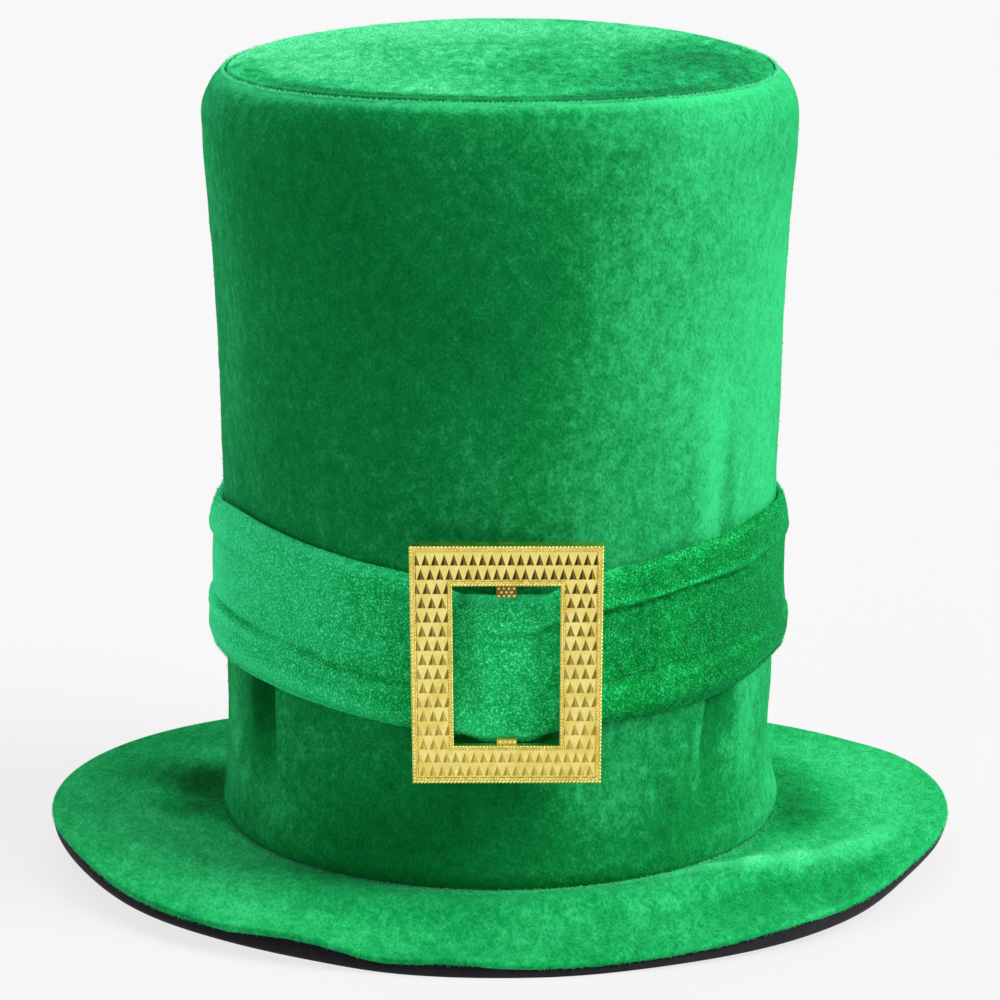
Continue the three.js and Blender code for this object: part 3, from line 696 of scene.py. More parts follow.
class Tree:
    """A short way to place and join shader nodes."""

    def __init__(self, tree: bpy.types.NodeTree) -> None:
        """Keeps the node tree."""
        self.tree = tree

    def node(self, kind: str, **settings: object) -> bpy.types.Node:
        """Adds a node and sets its properties.

        Args:
            kind: the node's type.
            **settings: its properties by name.

        Returns:
            The node.
        """
        made = self.tree.nodes.new(kind)
        for key, value in settings.items():
            setattr(made, key, value)
        return made

    def plug(self, value: Value, socket: bpy.types.NodeSocket) -> None:
        """Links an output to a socket, or sets the socket to a value.

        Args:
            value: an output, number, vector or colour.
            socket: the input socket.
        """
        if isinstance(value, bpy.types.NodeSocket):
            self.tree.links.new(value, socket)
        else:
            socket.default_value = value

    def maths(self, operation: str, first: Value, second: Value = 0.0) -> bpy.types.NodeSocket:
        """Adds a Math node.

        Args:
            operation: what it does.
            first: its first value.
            second: its second value.

        Returns:
            Its output.
        """
        made = self.node("ShaderNodeMath", operation=operation)
        self.plug(first, made.inputs[0])
        self.plug(second, made.inputs[1])
        return made.outputs[0]

    def noise(
        self, vector: Value, scale: Value, detail: float = 2.0, roughness: float = 0.5
    ) -> bpy.types.NodeSocket:
        """Adds a Noise Texture.

        Args:
            vector: where it is read.
            scale: how many of its lumps go into a metre, roughly.
            detail: how many finer layers it has.
            roughness: how strong they are.

        Returns:
            Its Factor.
        """
        made = self.node("ShaderNodeTexNoise")
        self.plug(vector, made.inputs["Vector"])
        self.plug(scale, made.inputs["Scale"])
        made.inputs["Detail"].default_value = detail
        made.inputs["Roughness"].default_value = roughness
        return made.outputs[0]

    def swing(self, value: Value, amount: Value) -> bpy.types.NodeSocket:
        """Turns a value about 0.5 into one about 0, times an amount."""
        return self.maths("MULTIPLY", self.maths("SUBTRACT", value, 0.5), amount)

    def remap(
        self, value: Value, low: float, high: float, to_low: float = 0.0, to_high: float = 1.0,
        soft: bool = False,
    ) -> bpy.types.NodeSocket:
        """Adds a clamped Map Range.

        Args:
            value: the value that it changes.
            low: the value that becomes to_low.
            high: the value that becomes to_high.
            to_low: the result at one end.
            to_high: the result at the other end.
            soft: whether the change is eased at both ends.

        Returns:
            Its result.
        """
        made = self.node("ShaderNodeMapRange", interpolation_type="SMOOTHSTEP" if soft else "LINEAR")
        for socket, number in zip(made.inputs[:5], (value, low, high, to_low, to_high)):
            self.plug(number, socket)
        return made.outputs[0]

    def mix(self, share: Value, first: Value, second: Value) -> bpy.types.NodeSocket:
        """Mixes two colours.

        Args:
            share: how much of the second there is.
            first: the first colour.
            second: the second colour.

        Returns:
            The mixed colour.
        """
        made = self.node("ShaderNodeMix", data_type="RGBA", clamp_factor=True)
        self.plug(share, made.inputs[0])
        self.plug(first, made.inputs[6])
        self.plug(second, made.inputs[7])
        return made.outputs[2]

    def stretch(self, vector: Value, scale: Value) -> bpy.types.NodeSocket:
        """Scales a vector by another.

        Args:
            vector: the vector.
            scale: its factors along X, Y and Z.

        Returns:
            The scaled vector.
        """
        made = self.node("ShaderNodeVectorMath", operation="MULTIPLY")
        self.plug(vector, made.inputs[0])
        self.plug(scale, made.inputs[1])
        return made.outputs[0]


def new_group(
    name: str, inputs: dict[str, Socket], outputs: dict[str, Socket]
) -> tuple[Tree, dict[str, bpy.types.NodeSocket], dict[str, bpy.types.NodeSocket]]:
    """Starts a node group.

    Args:
        name: the group's name.
        inputs: the kind of socket of each input, by name.
        outputs: the kind of socket of each output, by name.

    Returns:
        The tree, its inputs by name and its output sockets by name.
    """
    group = bpy.data.node_groups.new(name, "ShaderNodeTree")
    for label, kind in inputs.items():
        group.interface.new_socket(label, in_out="INPUT", socket_type=kind.value)
    for label, kind in outputs.items():
        group.interface.new_socket(label, in_out="OUTPUT", socket_type=kind.value)
    start, end = group.nodes.new("NodeGroupInput"), group.nodes.new("NodeGroupOutput")
    return Tree(group), {s.name: s for s in start.outputs}, {s.name: s for s in end.inputs}


class Socket(Enum):
    """Kinds of node socket."""

    NUMBER = "NodeSocketFloat"
    VECTOR = "NodeSocketVector"
    COLOUR = "NodeSocketColor"


def pile_group() -> bpy.types.NodeTree:
    """Builds pile cloth: broad patches, clumps, curled fibres, single fibres and lit tips.

    Returns:
        The node group. Its colour runs from the deep one, pile seen end on, over the middle and
        the bright one to the glint of single fibres, following the painted light and shade that it
        is given and random nap; the glint and the lit tips are painted highlights.
    """
    numbers = ("Brushed", "Patch", "Clump", "Fibre", "Contrast", "Curl", "Grain", "Tips", "Tip Share")
    inputs = {"Position": Socket.VECTOR, "Nap": Socket.VECTOR}
    inputs |= {label: Socket.NUMBER for label in numbers}
    inputs |= {label: Socket.COLOUR for label in ("Deep", "Middle", "Bright", "Glint")}
    outputs = {"Color": Socket.COLOUR, "Roughness": Socket.NUMBER, "Height": Socket.NUMBER}
    tree, given, put = new_group("pile_cloth", inputs, outputs)
    place = tree.stretch(given["Position"], given["Nap"])
    patch = tree.noise(place, given["Patch"], 2.0, 0.5)
    clump = tree.noise(place, given["Clump"], 2.0, 0.55)
    curled = tree.noise(place, tree.maths("MULTIPLY", given["Clump"], 1.7), 1.0, 0.5)
    curl = tree.maths("ABSOLUTE", tree.swing(curled, 1.0))
    curl = tree.remap(curl, 0.0, 0.09, 1.0, 0.35)
    fibre = tree.noise(place, given["Fibre"], 2.0, 0.65)
    # The random nap's contrast drops where more light is painted.
    calm = tree.remap(given["Brushed"], 0.0, 0.45, 1.0, 0.6)
    contrast = tree.maths("MULTIPLY", given["Contrast"], calm)
    # The shade starts from the painted light and shade on the mesh, and random nap is added to it.
    shade = tree.maths("ADD", given["Brushed"], 0.5)
    shade = tree.maths("ADD", shade, tree.swing(patch, contrast))
    shade = tree.maths("ADD", shade, tree.swing(clump, contrast))
    shade = tree.maths("ADD", shade, tree.swing(curl, given["Curl"]))
    shade = tree.maths("ADD", shade, tree.swing(fibre, given["Grain"]))
    low = tree.mix(tree.remap(shade, -0.3, 0.5), given["Deep"], given["Middle"])
    pile = tree.mix(tree.remap(shade, 0.4, 1.2, soft=True), low, given["Bright"])
    # Past the bright colour the shade runs to the glint colour: a painted highlight.
    pile = tree.mix(tree.remap(shade, 1.1, 1.9), pile, given["Glint"])
    # Random specks of glint on fibre tips: a painted highlight, stronger where more light is painted.
    tip = tree.noise(place, given["Tips"], 2.0, 0.6)
    tip = tree.maths("MULTIPLY", tree.remap(tip, 0.5, 0.66), given["Tip Share"])
    tip = tree.maths("MULTIPLY", tip, tree.remap(shade, 0.0, 0.9, 0.25, 1.0))
    tree.plug(tree.mix(tip, pile, given["Glint"]), put["Color"])
    tree.plug(tree.remap(shade, 0.0, 1.0, 0.95, 0.8), put["Roughness"])
    height = tree.maths("ADD", tree.maths("MULTIPLY", clump, 0.5), tree.maths("MULTIPLY", fibre, 0.35))
    height = tree.maths("ADD", height, tree.maths("MULTIPLY", curl, 0.12))
    tree.plug(tree.maths("ADD", height, tree.maths("MULTIPLY", tip, 0.2)), put["Height"])
    return tree.tree


def weave_group() -> bpy.types.NodeTree:
    """Builds the fine grain of a plain knitted backing cloth.

    Returns:
        The node group. Height and Shade follow the grain and its unevenness.
    """
    inputs = {"Position": Socket.VECTOR, "Scale": Socket.NUMBER}
    outputs = {"Shade": Socket.NUMBER, "Height": Socket.NUMBER}
    tree, given, put = new_group("backing_weave", inputs, outputs)
    lump = tree.noise(given["Position"], 140.0, 3.0, 0.6)
    grain = tree.noise(tree.stretch(given["Position"], (1.0, 1.0, 2.2)), given["Scale"], 2.0, 0.6)
    mixed = tree.maths("ADD", tree.maths("MULTIPLY", lump, 0.4), tree.maths("MULTIPLY", grain, 0.6))
    tree.plug(tree.remap(mixed, 0.3, 0.7), put["Shade"])
    tree.plug(mixed, put["Height"])
    return tree.tree


def casting_group() -> bpy.types.NodeTree:
    """Builds the unevenness of a cheap bright casting: cloudy tone and fine pits.

    Returns:
        The node group.
    """
    inputs = {"Position": Socket.VECTOR, "Scale": Socket.NUMBER}
    outputs = {"Tone": Socket.NUMBER, "Height": Socket.NUMBER}
    tree, given, put = new_group("casting_skin", inputs, outputs)
    cloud = tree.noise(given["Position"], given["Scale"], 3.0, 0.6)
    pits = tree.noise(given["Position"], 2200.0, 2.0, 0.5)
    tree.plug(tree.remap(cloud, 0.3, 0.7), put["Tone"])
    height = tree.maths("ADD", tree.maths("MULTIPLY", cloud, 0.7), tree.maths("MULTIPLY", pits, 0.3))
    tree.plug(height, put["Height"])
    return tree.tree


def use_group(
    tree: Tree, group: bpy.types.NodeTree, values: dict[str, Value]
) -> dict[str, bpy.types.NodeSocket]:
    """Places a node group on the object's own coordinates.

    Args:
        tree: the material's tree.
        group: the node group.
        values: numbers, colours or sockets for its inputs, by name.

    Returns:
        Its outputs by name.
    """
    place = tree.node("ShaderNodeTexCoord")
    used = tree.node("ShaderNodeGroup")
    used.node_tree = group
    tree.plug(place.outputs["Object"], used.inputs["Position"])
    for label, value in values.items():
        tree.plug(value, used.inputs[label])
    return {socket.name: socket for socket in used.outputs}


def start_material(name: str) -> tuple[bpy.types.Material, Tree, bpy.types.Node]:
    """Starts a material with a Principled shader.

    Args:
        name: the material's name.

    Returns:
        The material, its tree and its shader node.
    """
    material = bpy.data.materials.new(name)
    material.use_nodes = True
    material.node_tree.nodes.clear()
    tree = Tree(material.node_tree)
    shader = tree.node("ShaderNodeBsdfPrincipled")
    output = tree.node("ShaderNodeOutputMaterial")
    tree.plug(shader.outputs[0], output.inputs["Surface"])
    return material, tree, shader


def set_bump(
    tree: Tree, shader: bpy.types.Node, height: Value, strength: float, distance: float
) -> None:
    """Feeds a height through a Bump node into a shader's normal.

    Args:
        tree: the material's tree.
        shader: the shader node.
        height: the height output.
        strength: the bump's strength.
        distance: the bump's depth in metres.
    """
    relief = tree.node("ShaderNodeBump")
    relief.inputs["Strength"].default_value = strength
    relief.inputs["Distance"].default_value = distance
    tree.plug(height, relief.inputs["Height"])
    tree.plug(relief.outputs["Normal"], shader.inputs["Normal"])


@dataclass(frozen=True)
class PileFinish:
    """Velvet or velour: its colours, the sizes of its nap per metre, and its sheen."""

    name: str
    deep: Colour
    middle: Colour
    bright: Colour
    glint: Colour
    sheen_tint: Colour
    sheen: float
    patch: float
    clump: float
    fibre: float
    contrast: float
    curl: float
    grain: float
    tips: float
    tip_share: float
    bump_depth: float
    nap: tuple[float, float, float] = (1.0, 1.0, 0.85)

    def make(self, pile: bpy.types.NodeTree) -> bpy.types.Material:
        """Builds the material.

        Args:
            pile: the pile cloth group.

        Returns:
            The material.
        """
        material, tree, shader = start_material(self.name)
        # Reads the painted light and shade stored on the mesh.
        painted_light = tree.node("ShaderNodeAttribute", attribute_name=PAINTED_LIGHT)
        found = use_group(tree, pile, {
            "Brushed": painted_light.outputs["Fac"], "Patch": self.patch, "Clump": self.clump,
            "Fibre": self.fibre, "Contrast": self.contrast, "Curl": self.curl, "Grain": self.grain,
            "Tips": self.tips, "Tip Share": self.tip_share, "Nap": self.nap, "Deep": (*self.deep, 1),
            "Middle": (*self.middle, 1), "Bright": (*self.bright, 1), "Glint": (*self.glint, 1),
        })
        tree.plug(found["Color"], shader.inputs["Base Color"])
        tree.plug(found["Roughness"], shader.inputs["Roughness"])
        shader.inputs["Specular IOR Level"].default_value = 0.02
        shader.inputs["Sheen Weight"].default_value = self.sheen
        shader.inputs["Sheen Roughness"].default_value = 0.4
        shader.inputs["Sheen Tint"].default_value = (*self.sheen_tint, 1)
        set_bump(tree, shader, found["Height"], 0.7, self.bump_depth)
        return material


@dataclass(frozen=True)
class BackingFinish:
    """Plain backing or lining cloth: its two colours and its weave."""

    name: str
    dark: Colour
    light: Colour
    scale: float
    bump_depth: float

    def make(self, weave: bpy.types.NodeTree) -> bpy.types.Material:
        """Builds the material.

        Args:
            weave: the weave group.

        Returns:
            The material.
        """
        material, tree, shader = start_material(self.name)
        found = use_group(tree, weave, {"Scale": self.scale})
        colour = tree.mix(found["Shade"], (*self.dark, 1), (*self.light, 1))
        tree.plug(colour, shader.inputs["Base Color"])
        tree.plug(tree.remap(found["Shade"], 0.0, 1.0, 0.95, 0.8), shader.inputs["Roughness"])
        shader.inputs["Specular IOR Level"].default_value = 0.2
        shader.inputs["Sheen Weight"].default_value = 0.08
        set_bump(tree, shader, found["Height"], 0.8, self.bump_depth)
        return material


@dataclass(frozen=True)
class CastingFinish:
    """Bright metallised casting: its tones, its roughness, and a paler painted reflection further down.
    """

    name: str
    bright: Colour
    dull: Colour
    polished: float
    worn: float
    low_painted_reflection: Colour | None = None

    def make(self, skin: bpy.types.NodeTree) -> bpy.types.Material:
        """Builds the material.

        Args:
            skin: the casting group.

        Returns:
            The material.
        """
        material, tree, shader = start_material(self.name)
        found = use_group(tree, skin, {"Scale": 260.0})
        colour = tree.mix(found["Tone"], (*self.dull, 1), (*self.bright, 1))
        if self.low_painted_reflection is not None:
            # On the studs, a paler colour towards the buckle's foot: a painted reflection, lighter on the
            # lower rows.
            place = tree.node("ShaderNodeTexCoord")
            split = tree.node("ShaderNodeSeparateXYZ")
            tree.plug(place.outputs["Object"], split.inputs[0])
            low_reflection_share = tree.remap(split.outputs[2], 0.118, 0.06)
            colour = tree.mix(low_reflection_share, colour, (*self.low_painted_reflection, 1))
        tree.plug(colour, shader.inputs["Base Color"])
        shader.inputs["Metallic"].default_value = 1.0
        roughness = tree.remap(found["Tone"], 0.0, 1.0, self.worn, self.polished)
        tree.plug(roughness, shader.inputs["Roughness"])
        set_bump(tree, shader, found["Height"], 0.2, 0.00004)
        return material


# Each pile finish's glint colour is a painted highlight of lit fibres.
VELVET = PileFinish(
    name="crown_velvet", deep=(0.0003, 0.07, 0.012), middle=(0.0025, 0.205, 0.041),
    bright=(0.037, 0.575, 0.2), glint=(0.12, 0.74, 0.36), sheen_tint=(0.03, 0.9, 0.36),
    sheen=0.32, patch=16.0, clump=250.0, fibre=1000.0, contrast=0.68, curl=0.18, grain=0.4,
    tips=1300.0, tip_share=0.12, bump_depth=0.0006,
)
# The tip's and the brim's velvets are lighter copies of the crown's: the extra lightness is painted light
# on faces that look up.
TIP_VELVET = replace(
    VELVET, name="tip_velvet", deep=(0.0015, 0.16, 0.035), middle=(0.008, 0.42, 0.125),
    bright=(0.1, 0.66, 0.29), sheen_tint=(0.12, 0.9, 0.42), contrast=1.85, curl=0.45, grain=0.22,
    tip_share=0.15, patch=25.0, nap=(1.0, 0.35, 1.0),
)
BRIM_VELVET = replace(
    VELVET, name="brim_velvet", deep=(0.0006, 0.08, 0.012), middle=(0.0022, 0.31, 0.07),
    bright=(0.04, 0.6, 0.21), glint=(0.2, 0.77, 0.4), sheen_tint=(0.07, 0.9, 0.38),
    contrast=0.8, curl=0.28, grain=0.38, patch=25.0, bump_depth=0.0008, nap=(1.0, 0.4, 1.0),
)
VELOUR = replace(
    VELVET, name="band_velour", deep=(0.0003, 0.13, 0.012), middle=(0.0012, 0.32, 0.045),
    bright=(0.014, 0.56, 0.165), glint=(0.09, 0.98, 0.47), sheen_tint=(0.03, 0.9, 0.38), sheen=0.3,
    patch=30.0, clump=270.0, fibre=1500.0, contrast=1.1, curl=0.1, grain=1.1,
    tips=1450.0, tip_share=0.9, bump_depth=0.0004, nap=(1.0, 1.0, 1.0),
)
LINING = BackingFinish("lining_cloth", (0.004, 0.004, 0.006), (0.016, 0.015, 0.02), 1100.0, 0.0003)
BACKING = BackingFinish("crown_backing", (0.012, 0.014, 0.014), (0.035, 0.04, 0.04), 700.0, 0.0004)
GOLD = CastingFinish("bright_gold", (0.97, 0.84, 0.3), (0.84, 0.67, 0.14), 0.2, 0.36)
# The studs' facets carry painted reflections: the left facet dark, the right facet less dark, both darker
# than the gold and paler lower down.
STUD_LEFT_PAINTED_REFLECTION = CastingFinish(
    "stud_left_painted_reflection", (0.2, 0.15, 0.04), (0.09, 0.065, 0.018), 0.3, 0.45, (0.72, 0.59, 0.13)
)
STUD_RIGHT_PAINTED_REFLECTION = CastingFinish(
    "stud_right_painted_reflection", (0.55, 0.45, 0.15), (0.3, 0.23, 0.06), 0.3, 0.4, (1.0, 0.88, 0.36)
)


@dataclass
class Finishes:
    """All the materials of the hat."""

    velvet: bpy.types.Material
    tip_velvet: bpy.types.Material
    brim_velvet: bpy.types.Material
    velour: bpy.types.Material
    lining: bpy.types.Material
    backing: bpy.types.Material
    gold: bpy.types.Material
    stud_left_painted_reflection: bpy.types.Material
    stud_right_painted_reflection: bpy.types.Material

    @classmethod
    def make(cls) -> "Finishes":
        """Builds the node groups and every material from them.

        Returns:
            The materials.
        """
        pile, weave, skin = pile_group(), weave_group(), casting_group()
        cloths = [finish.make(pile) for finish in (VELVET, TIP_VELVET, BRIM_VELVET, VELOUR)]
        backs = [finish.make(weave) for finish in (LINING, BACKING)]
        metals = [finish.make(skin) for finish in (GOLD, STUD_LEFT_PAINTED_REFLECTION, STUD_RIGHT_PAINTED_REFLECTION)]
        return cls(*cloths, *backs, *metals)


# Pieces


class Hold(Enum):
    """How a cut sheet of the hat is held."""

    SEWN = "stretched"
    LAID = "laid"


def dress(piece: bpy.types.Object, node: str) -> None:
    """Ties a piece to the hat's body and hides the solid that it stands for.

    Args:
        piece: the piece.
        node: the solid that it replaces.
    """
    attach(piece, BODY)
    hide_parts(node)


@dataclass
class Crown:
    """The crown: a velvet side that rolls over at its shoulder, and the tip sewn inside it."""

    sizes: HatSizes
    noise: ClothNoise
    sections: int = 400
    wall_rows: int = 110
    shoulder_rows: int = 18
    inside_rows: int = 20
    tip_rows: int = 64
    tip_rim_rows: int = 9
    tip_under_rows: int = 10
    tip_play: float = 0.62
    tip_sink: float = 2.3
    tip_round: float = 1.3
    puff: float = 1.0
    seam_lip: tuple = ((0.12, 0.04), (0.3, 0.25), (0.38, 0.8), (0.36, 1.6), (0.3, 2.4))

    @property
    def tip_shares(self) -> Array:
        """Shares of the tip's half width at which its rows lie, from its edge to its middle."""
        return np.linspace(0.985, 0.02, self.tip_rows) ** 1.15

    def top(self, azimuth: Array) -> Array:
        """Height of the shoulder's crest."""
        dip = self.sizes.top_side_dip * np.cos(np.radians(azimuth)) ** 2
        return self.sizes.seam_height + self.sizes.crown_height - dip

    def width(self, azimuth: Array, height: Array) -> Array:
        """Half width of the crown's outside, without its folds.

        Args:
            azimuth: azimuths in degrees.
            height: heights in millimetres.

        Returns:
            The half widths.
        """
        foot = self.top(azimuth) - self.sizes.shoulder_height
        up = (height - self.sizes.seam_height) / (foot - self.sizes.seam_height)
        return self.flared(up)

    def flared(self, up: Array) -> Array:
        """Half width at shares of the way up the side.

        Args:
            up: the shares.

        Returns:
            The half widths.
        """
        table = np.array(CROWN_PROFILE)
        share = np.clip(np.asarray(up, float), 0.0, 1.0)
        flare = spline(table[:, 0], table[:, 1], share.ravel()).reshape(share.shape)
        base, full = self.sizes.base_width, self.sizes.shoulder_width / 2
        return base + (full - base) * flare

    def folds(self, azimuth: Array, up: Array, rows: Sequence[Fold]) -> Array:
        """Depth of a table's folds.

        Args:
            azimuth: azimuths in degrees.
            up: shares of the way up the side.
            rows: the folds.

        Returns:
            Depths in millimetres, inwards.
        """
        total = np.zeros(np.broadcast(azimuth, up).shape)
        for row in rows:
            middle = row.azimuth + row.slant * (up - row.up)
            turn = bump(turn_between(middle, azimuth), row.spread / 2)
            total = total + self.sizes.fold_depth * row.depth * turn * bump(up - row.up, row.reach)
        return total

    def side_grid(self) -> tuple[Array, Array, int]:
        """Points of the crown's side.

        Returns:
            The grid, the painted light and shade of its pile, and how many of its rows are on the
            outside.
        """
        s = self.sizes
        azimuth = even_azimuths(self.sections)
        flat = 0 * azimuth
        top = self.top(azimuth)
        foot = top - s.shoulder_height
        up = np.linspace(0.0, 1.0, self.wall_rows)[None, :]
        hollow = self.folds(azimuth, up, CROWN_FOLDS) + self.folds(azimuth, up, CROWN_RIPPLES)
        wall = (self.flared(up) - hollow, s.seam_height + (foot - s.seam_height) * up)
        turn = np.radians(np.linspace(0.0, s.shoulder_turn, self.shoulder_rows + 1)[1:])[None, :]
        crest = (
            s.shoulder_width / 2 - s.shoulder_tuck * (1 - np.cos(turn)) + flat,
            foot + s.shoulder_rise * np.sin(turn),
        )
        lip = np.array(self.seam_lip)
        seam = (s.tip_width - lip[None, :, 0] + flat, top - lip[None, :, 1])
        hem_in = np.array([[1.6, 0.5]])
        hem = (self.flared(np.zeros((1, 2))) - hem_in + flat, s.seam_height + 0 * hem_in + flat)
        width, height = (np.concatenate([hem[i], wall[i], crest[i], seam[i]], axis=1) for i in (0, 1))
        points = oval(azimuth, width, s.depth_extra, height)
        soft = self.noise.mixed(points, ((0.5, 46.0), (0.3, 17.0), (0.14, 6.5), (0.1, 3.2)))
        fade = np.ones(width.shape[1])
        fade[:5] = (0.0, 0.2, 0.4, 0.7, 0.9)
        fade[-9:] = np.linspace(0.9, 0.2, 9)
        points = oval(azimuth, width + soft * fade, s.depth_extra, height + 0.3 * soft * (fade < 0.9))
        along = (height - s.seam_height) / (foot - s.seam_height)
        painted_light = painted_light_of(CROWN_PAINTED_LIGHT, azimuth, along)
        down = np.linspace(1.0, 0.0, self.inside_rows)[None, :]
        reach = self.flared(down) - s.crown_wall - self.folds(azimuth, down, CROWN_FOLDS)
        reach = np.minimum(reach, s.tip_width + 3 + 200 * (1 - down))
        reach = np.where(down < 0.1, s.base_width - s.crown_wall, reach)
        inside = oval(azimuth, reach, s.depth_extra, s.seam_height + (foot - s.seam_height) * down)
        shades = np.concatenate([painted_light, np.zeros(reach.shape)], axis=1)
        return np.concatenate([points, inside], axis=1), shades, points.shape[1]

    def build_side(self, finishes: Finishes) -> bpy.types.Object:
        """Builds the side, with loose fibres along its seam with the tip.

        Args:
            finishes: the hat's materials.

        Returns:
            The piece.
        """
        s = self.sizes
        parts = MeshParts()
        grid, shades, outer = self.side_grid()
        slots = np.zeros(grid.shape[1], np.int32)
        slots[outer:] = 1
        add_ring(parts, grid, slots, shades)
        azimuth, share = TIP_SEAM_FUZZ.scatter()
        height = self.top(azimuth) - 0.45 + 0.35 * share
        roots = oval(azimuth, s.tip_width + 0.7 - 0.9 * share, s.depth_extra, height)
        # The seam's fibres get the crown's painted light there, raised by a half: a painted highlight
        # along the seam.
        shade = 0.5 + painted_light_of(CROWN_PAINTED_LIGHT, azimuth, np.ones(azimuth.shape))
        TIP_SEAM_FUZZ.add(parts, roots, outward(azimuth, 0.5, 1.0), shade)
        azimuth, up = CROWN_NAP.scatter()
        roots = read_grid(grid, azimuth, 2 + up * (self.wall_rows - 1))
        shade = painted_light_of(CROWN_PAINTED_LIGHT, azimuth, up)
        CROWN_NAP.add(parts, roots, outward(azimuth, 0.25, -1.0), shade)
        side = parts.make("crown_side_velvet", (finishes.velvet, finishes.backing))
        dress(side, "crown_side")
        return side

    def tip_grid(self) -> tuple[Array, Array, Array]:
        """Points of the tip.

        Returns:
            The grid, how its pile is brushed, and its two middle points.
        """
        s = self.sizes
        azimuth = even_azimuths(self.sections)
        top = self.top(azimuth)
        edge = s.tip_width - self.tip_play
        flat = s.seam_height + s.crown_height - s.top_side_dip / 2
        turn = np.radians(np.linspace(0.0, 85.0, self.tip_rim_rows))[None, :]
        rim = (
            edge - self.tip_round * (1 - np.cos(turn)) + 0 * azimuth,
            top - self.tip_sink + (self.tip_sink + self.puff) * np.sin(turn),
        )
        share = self.tip_shares[None, :]
        face = (edge * share + 0 * azimuth, flat + s.tip_dome * (1 - share**2))
        rise = ease((share - 0.7) / 0.3)
        face = (face[0], face[1] + (top + self.puff - face[1]) * rise)
        low = np.linspace(0.04, 1.0, self.tip_under_rows)[None, :]
        under_height = flat + s.tip_dome * (1 - low**2) - s.tip_wall + (top - flat) * low**6
        under = (edge * low + 0 * azimuth, under_height)
        width, height = (np.concatenate([under[i], rim[i], face[i]], axis=1) for i in (0, 1))
        extra = s.depth_extra * width / s.tip_width
        points = oval(azimuth, width, extra, height)
        soft = self.noise.mixed(points + 300.0, ((0.75, 52.0), (0.4, 19.0), (0.16, 6.5), (0.1, 3.2)))
        fade = [np.zeros(self.tip_under_rows), np.linspace(0.05, 0.3, self.tip_rim_rows)]
        fade += [np.linspace(0.3, 1.0, self.tip_rows)]
        points[..., 2] += (soft - 0.2) * np.concatenate(fade)
        painted_light = painted_light_of(TIP_PAINTED_LIGHT, azimuth, width / edge)
        middle = float(points[:, -1, 2].mean())
        ends = np.array([[0, 0, flat + s.tip_dome - s.tip_wall], [0, 0, middle]], float)
        return points, painted_light, ends

    def build_tip(self, finishes: Finishes) -> bpy.types.Object:
        """Builds the tip, which is sewn inside the side's shoulder.

        Args:
            finishes: the hat's materials.

        Returns:
            The piece.
        """
        parts = MeshParts()
        points, painted_light, ends = self.tip_grid()
        slots = np.zeros(points.shape[1] + 1, np.int32)
        slots[: self.tip_under_rows + 1] = 1
        add_disc(parts, points, ends, slots, painted_light)
        azimuth, share = TIP_NAP.scatter()
        share = 0.97 * np.sqrt(share)
        row = np.interp(share, self.tip_shares[::-1], np.arange(self.tip_rows)[::-1])
        roots = read_grid(points, azimuth, self.tip_under_rows + self.tip_rim_rows + row)
        shade = painted_light_of(TIP_PAINTED_LIGHT, azimuth, share)
        TIP_NAP.add(parts, roots, outward(azimuth, 0.1, 1.0), shade)
        tip = parts.make("crown_tip_velvet", (finishes.tip_velvet, finishes.backing))
        dress(tip, "crown_tip")
        return tip

    def build(self, finishes: Finishes) -> list[bpy.types.Object]:
        """Builds the side and the tip.

        Args:
            finishes: the hat's materials.

        Returns:
            The two pieces.
        """
        side = self.build_side(finishes)
        return [side, self.build_tip(finishes)]


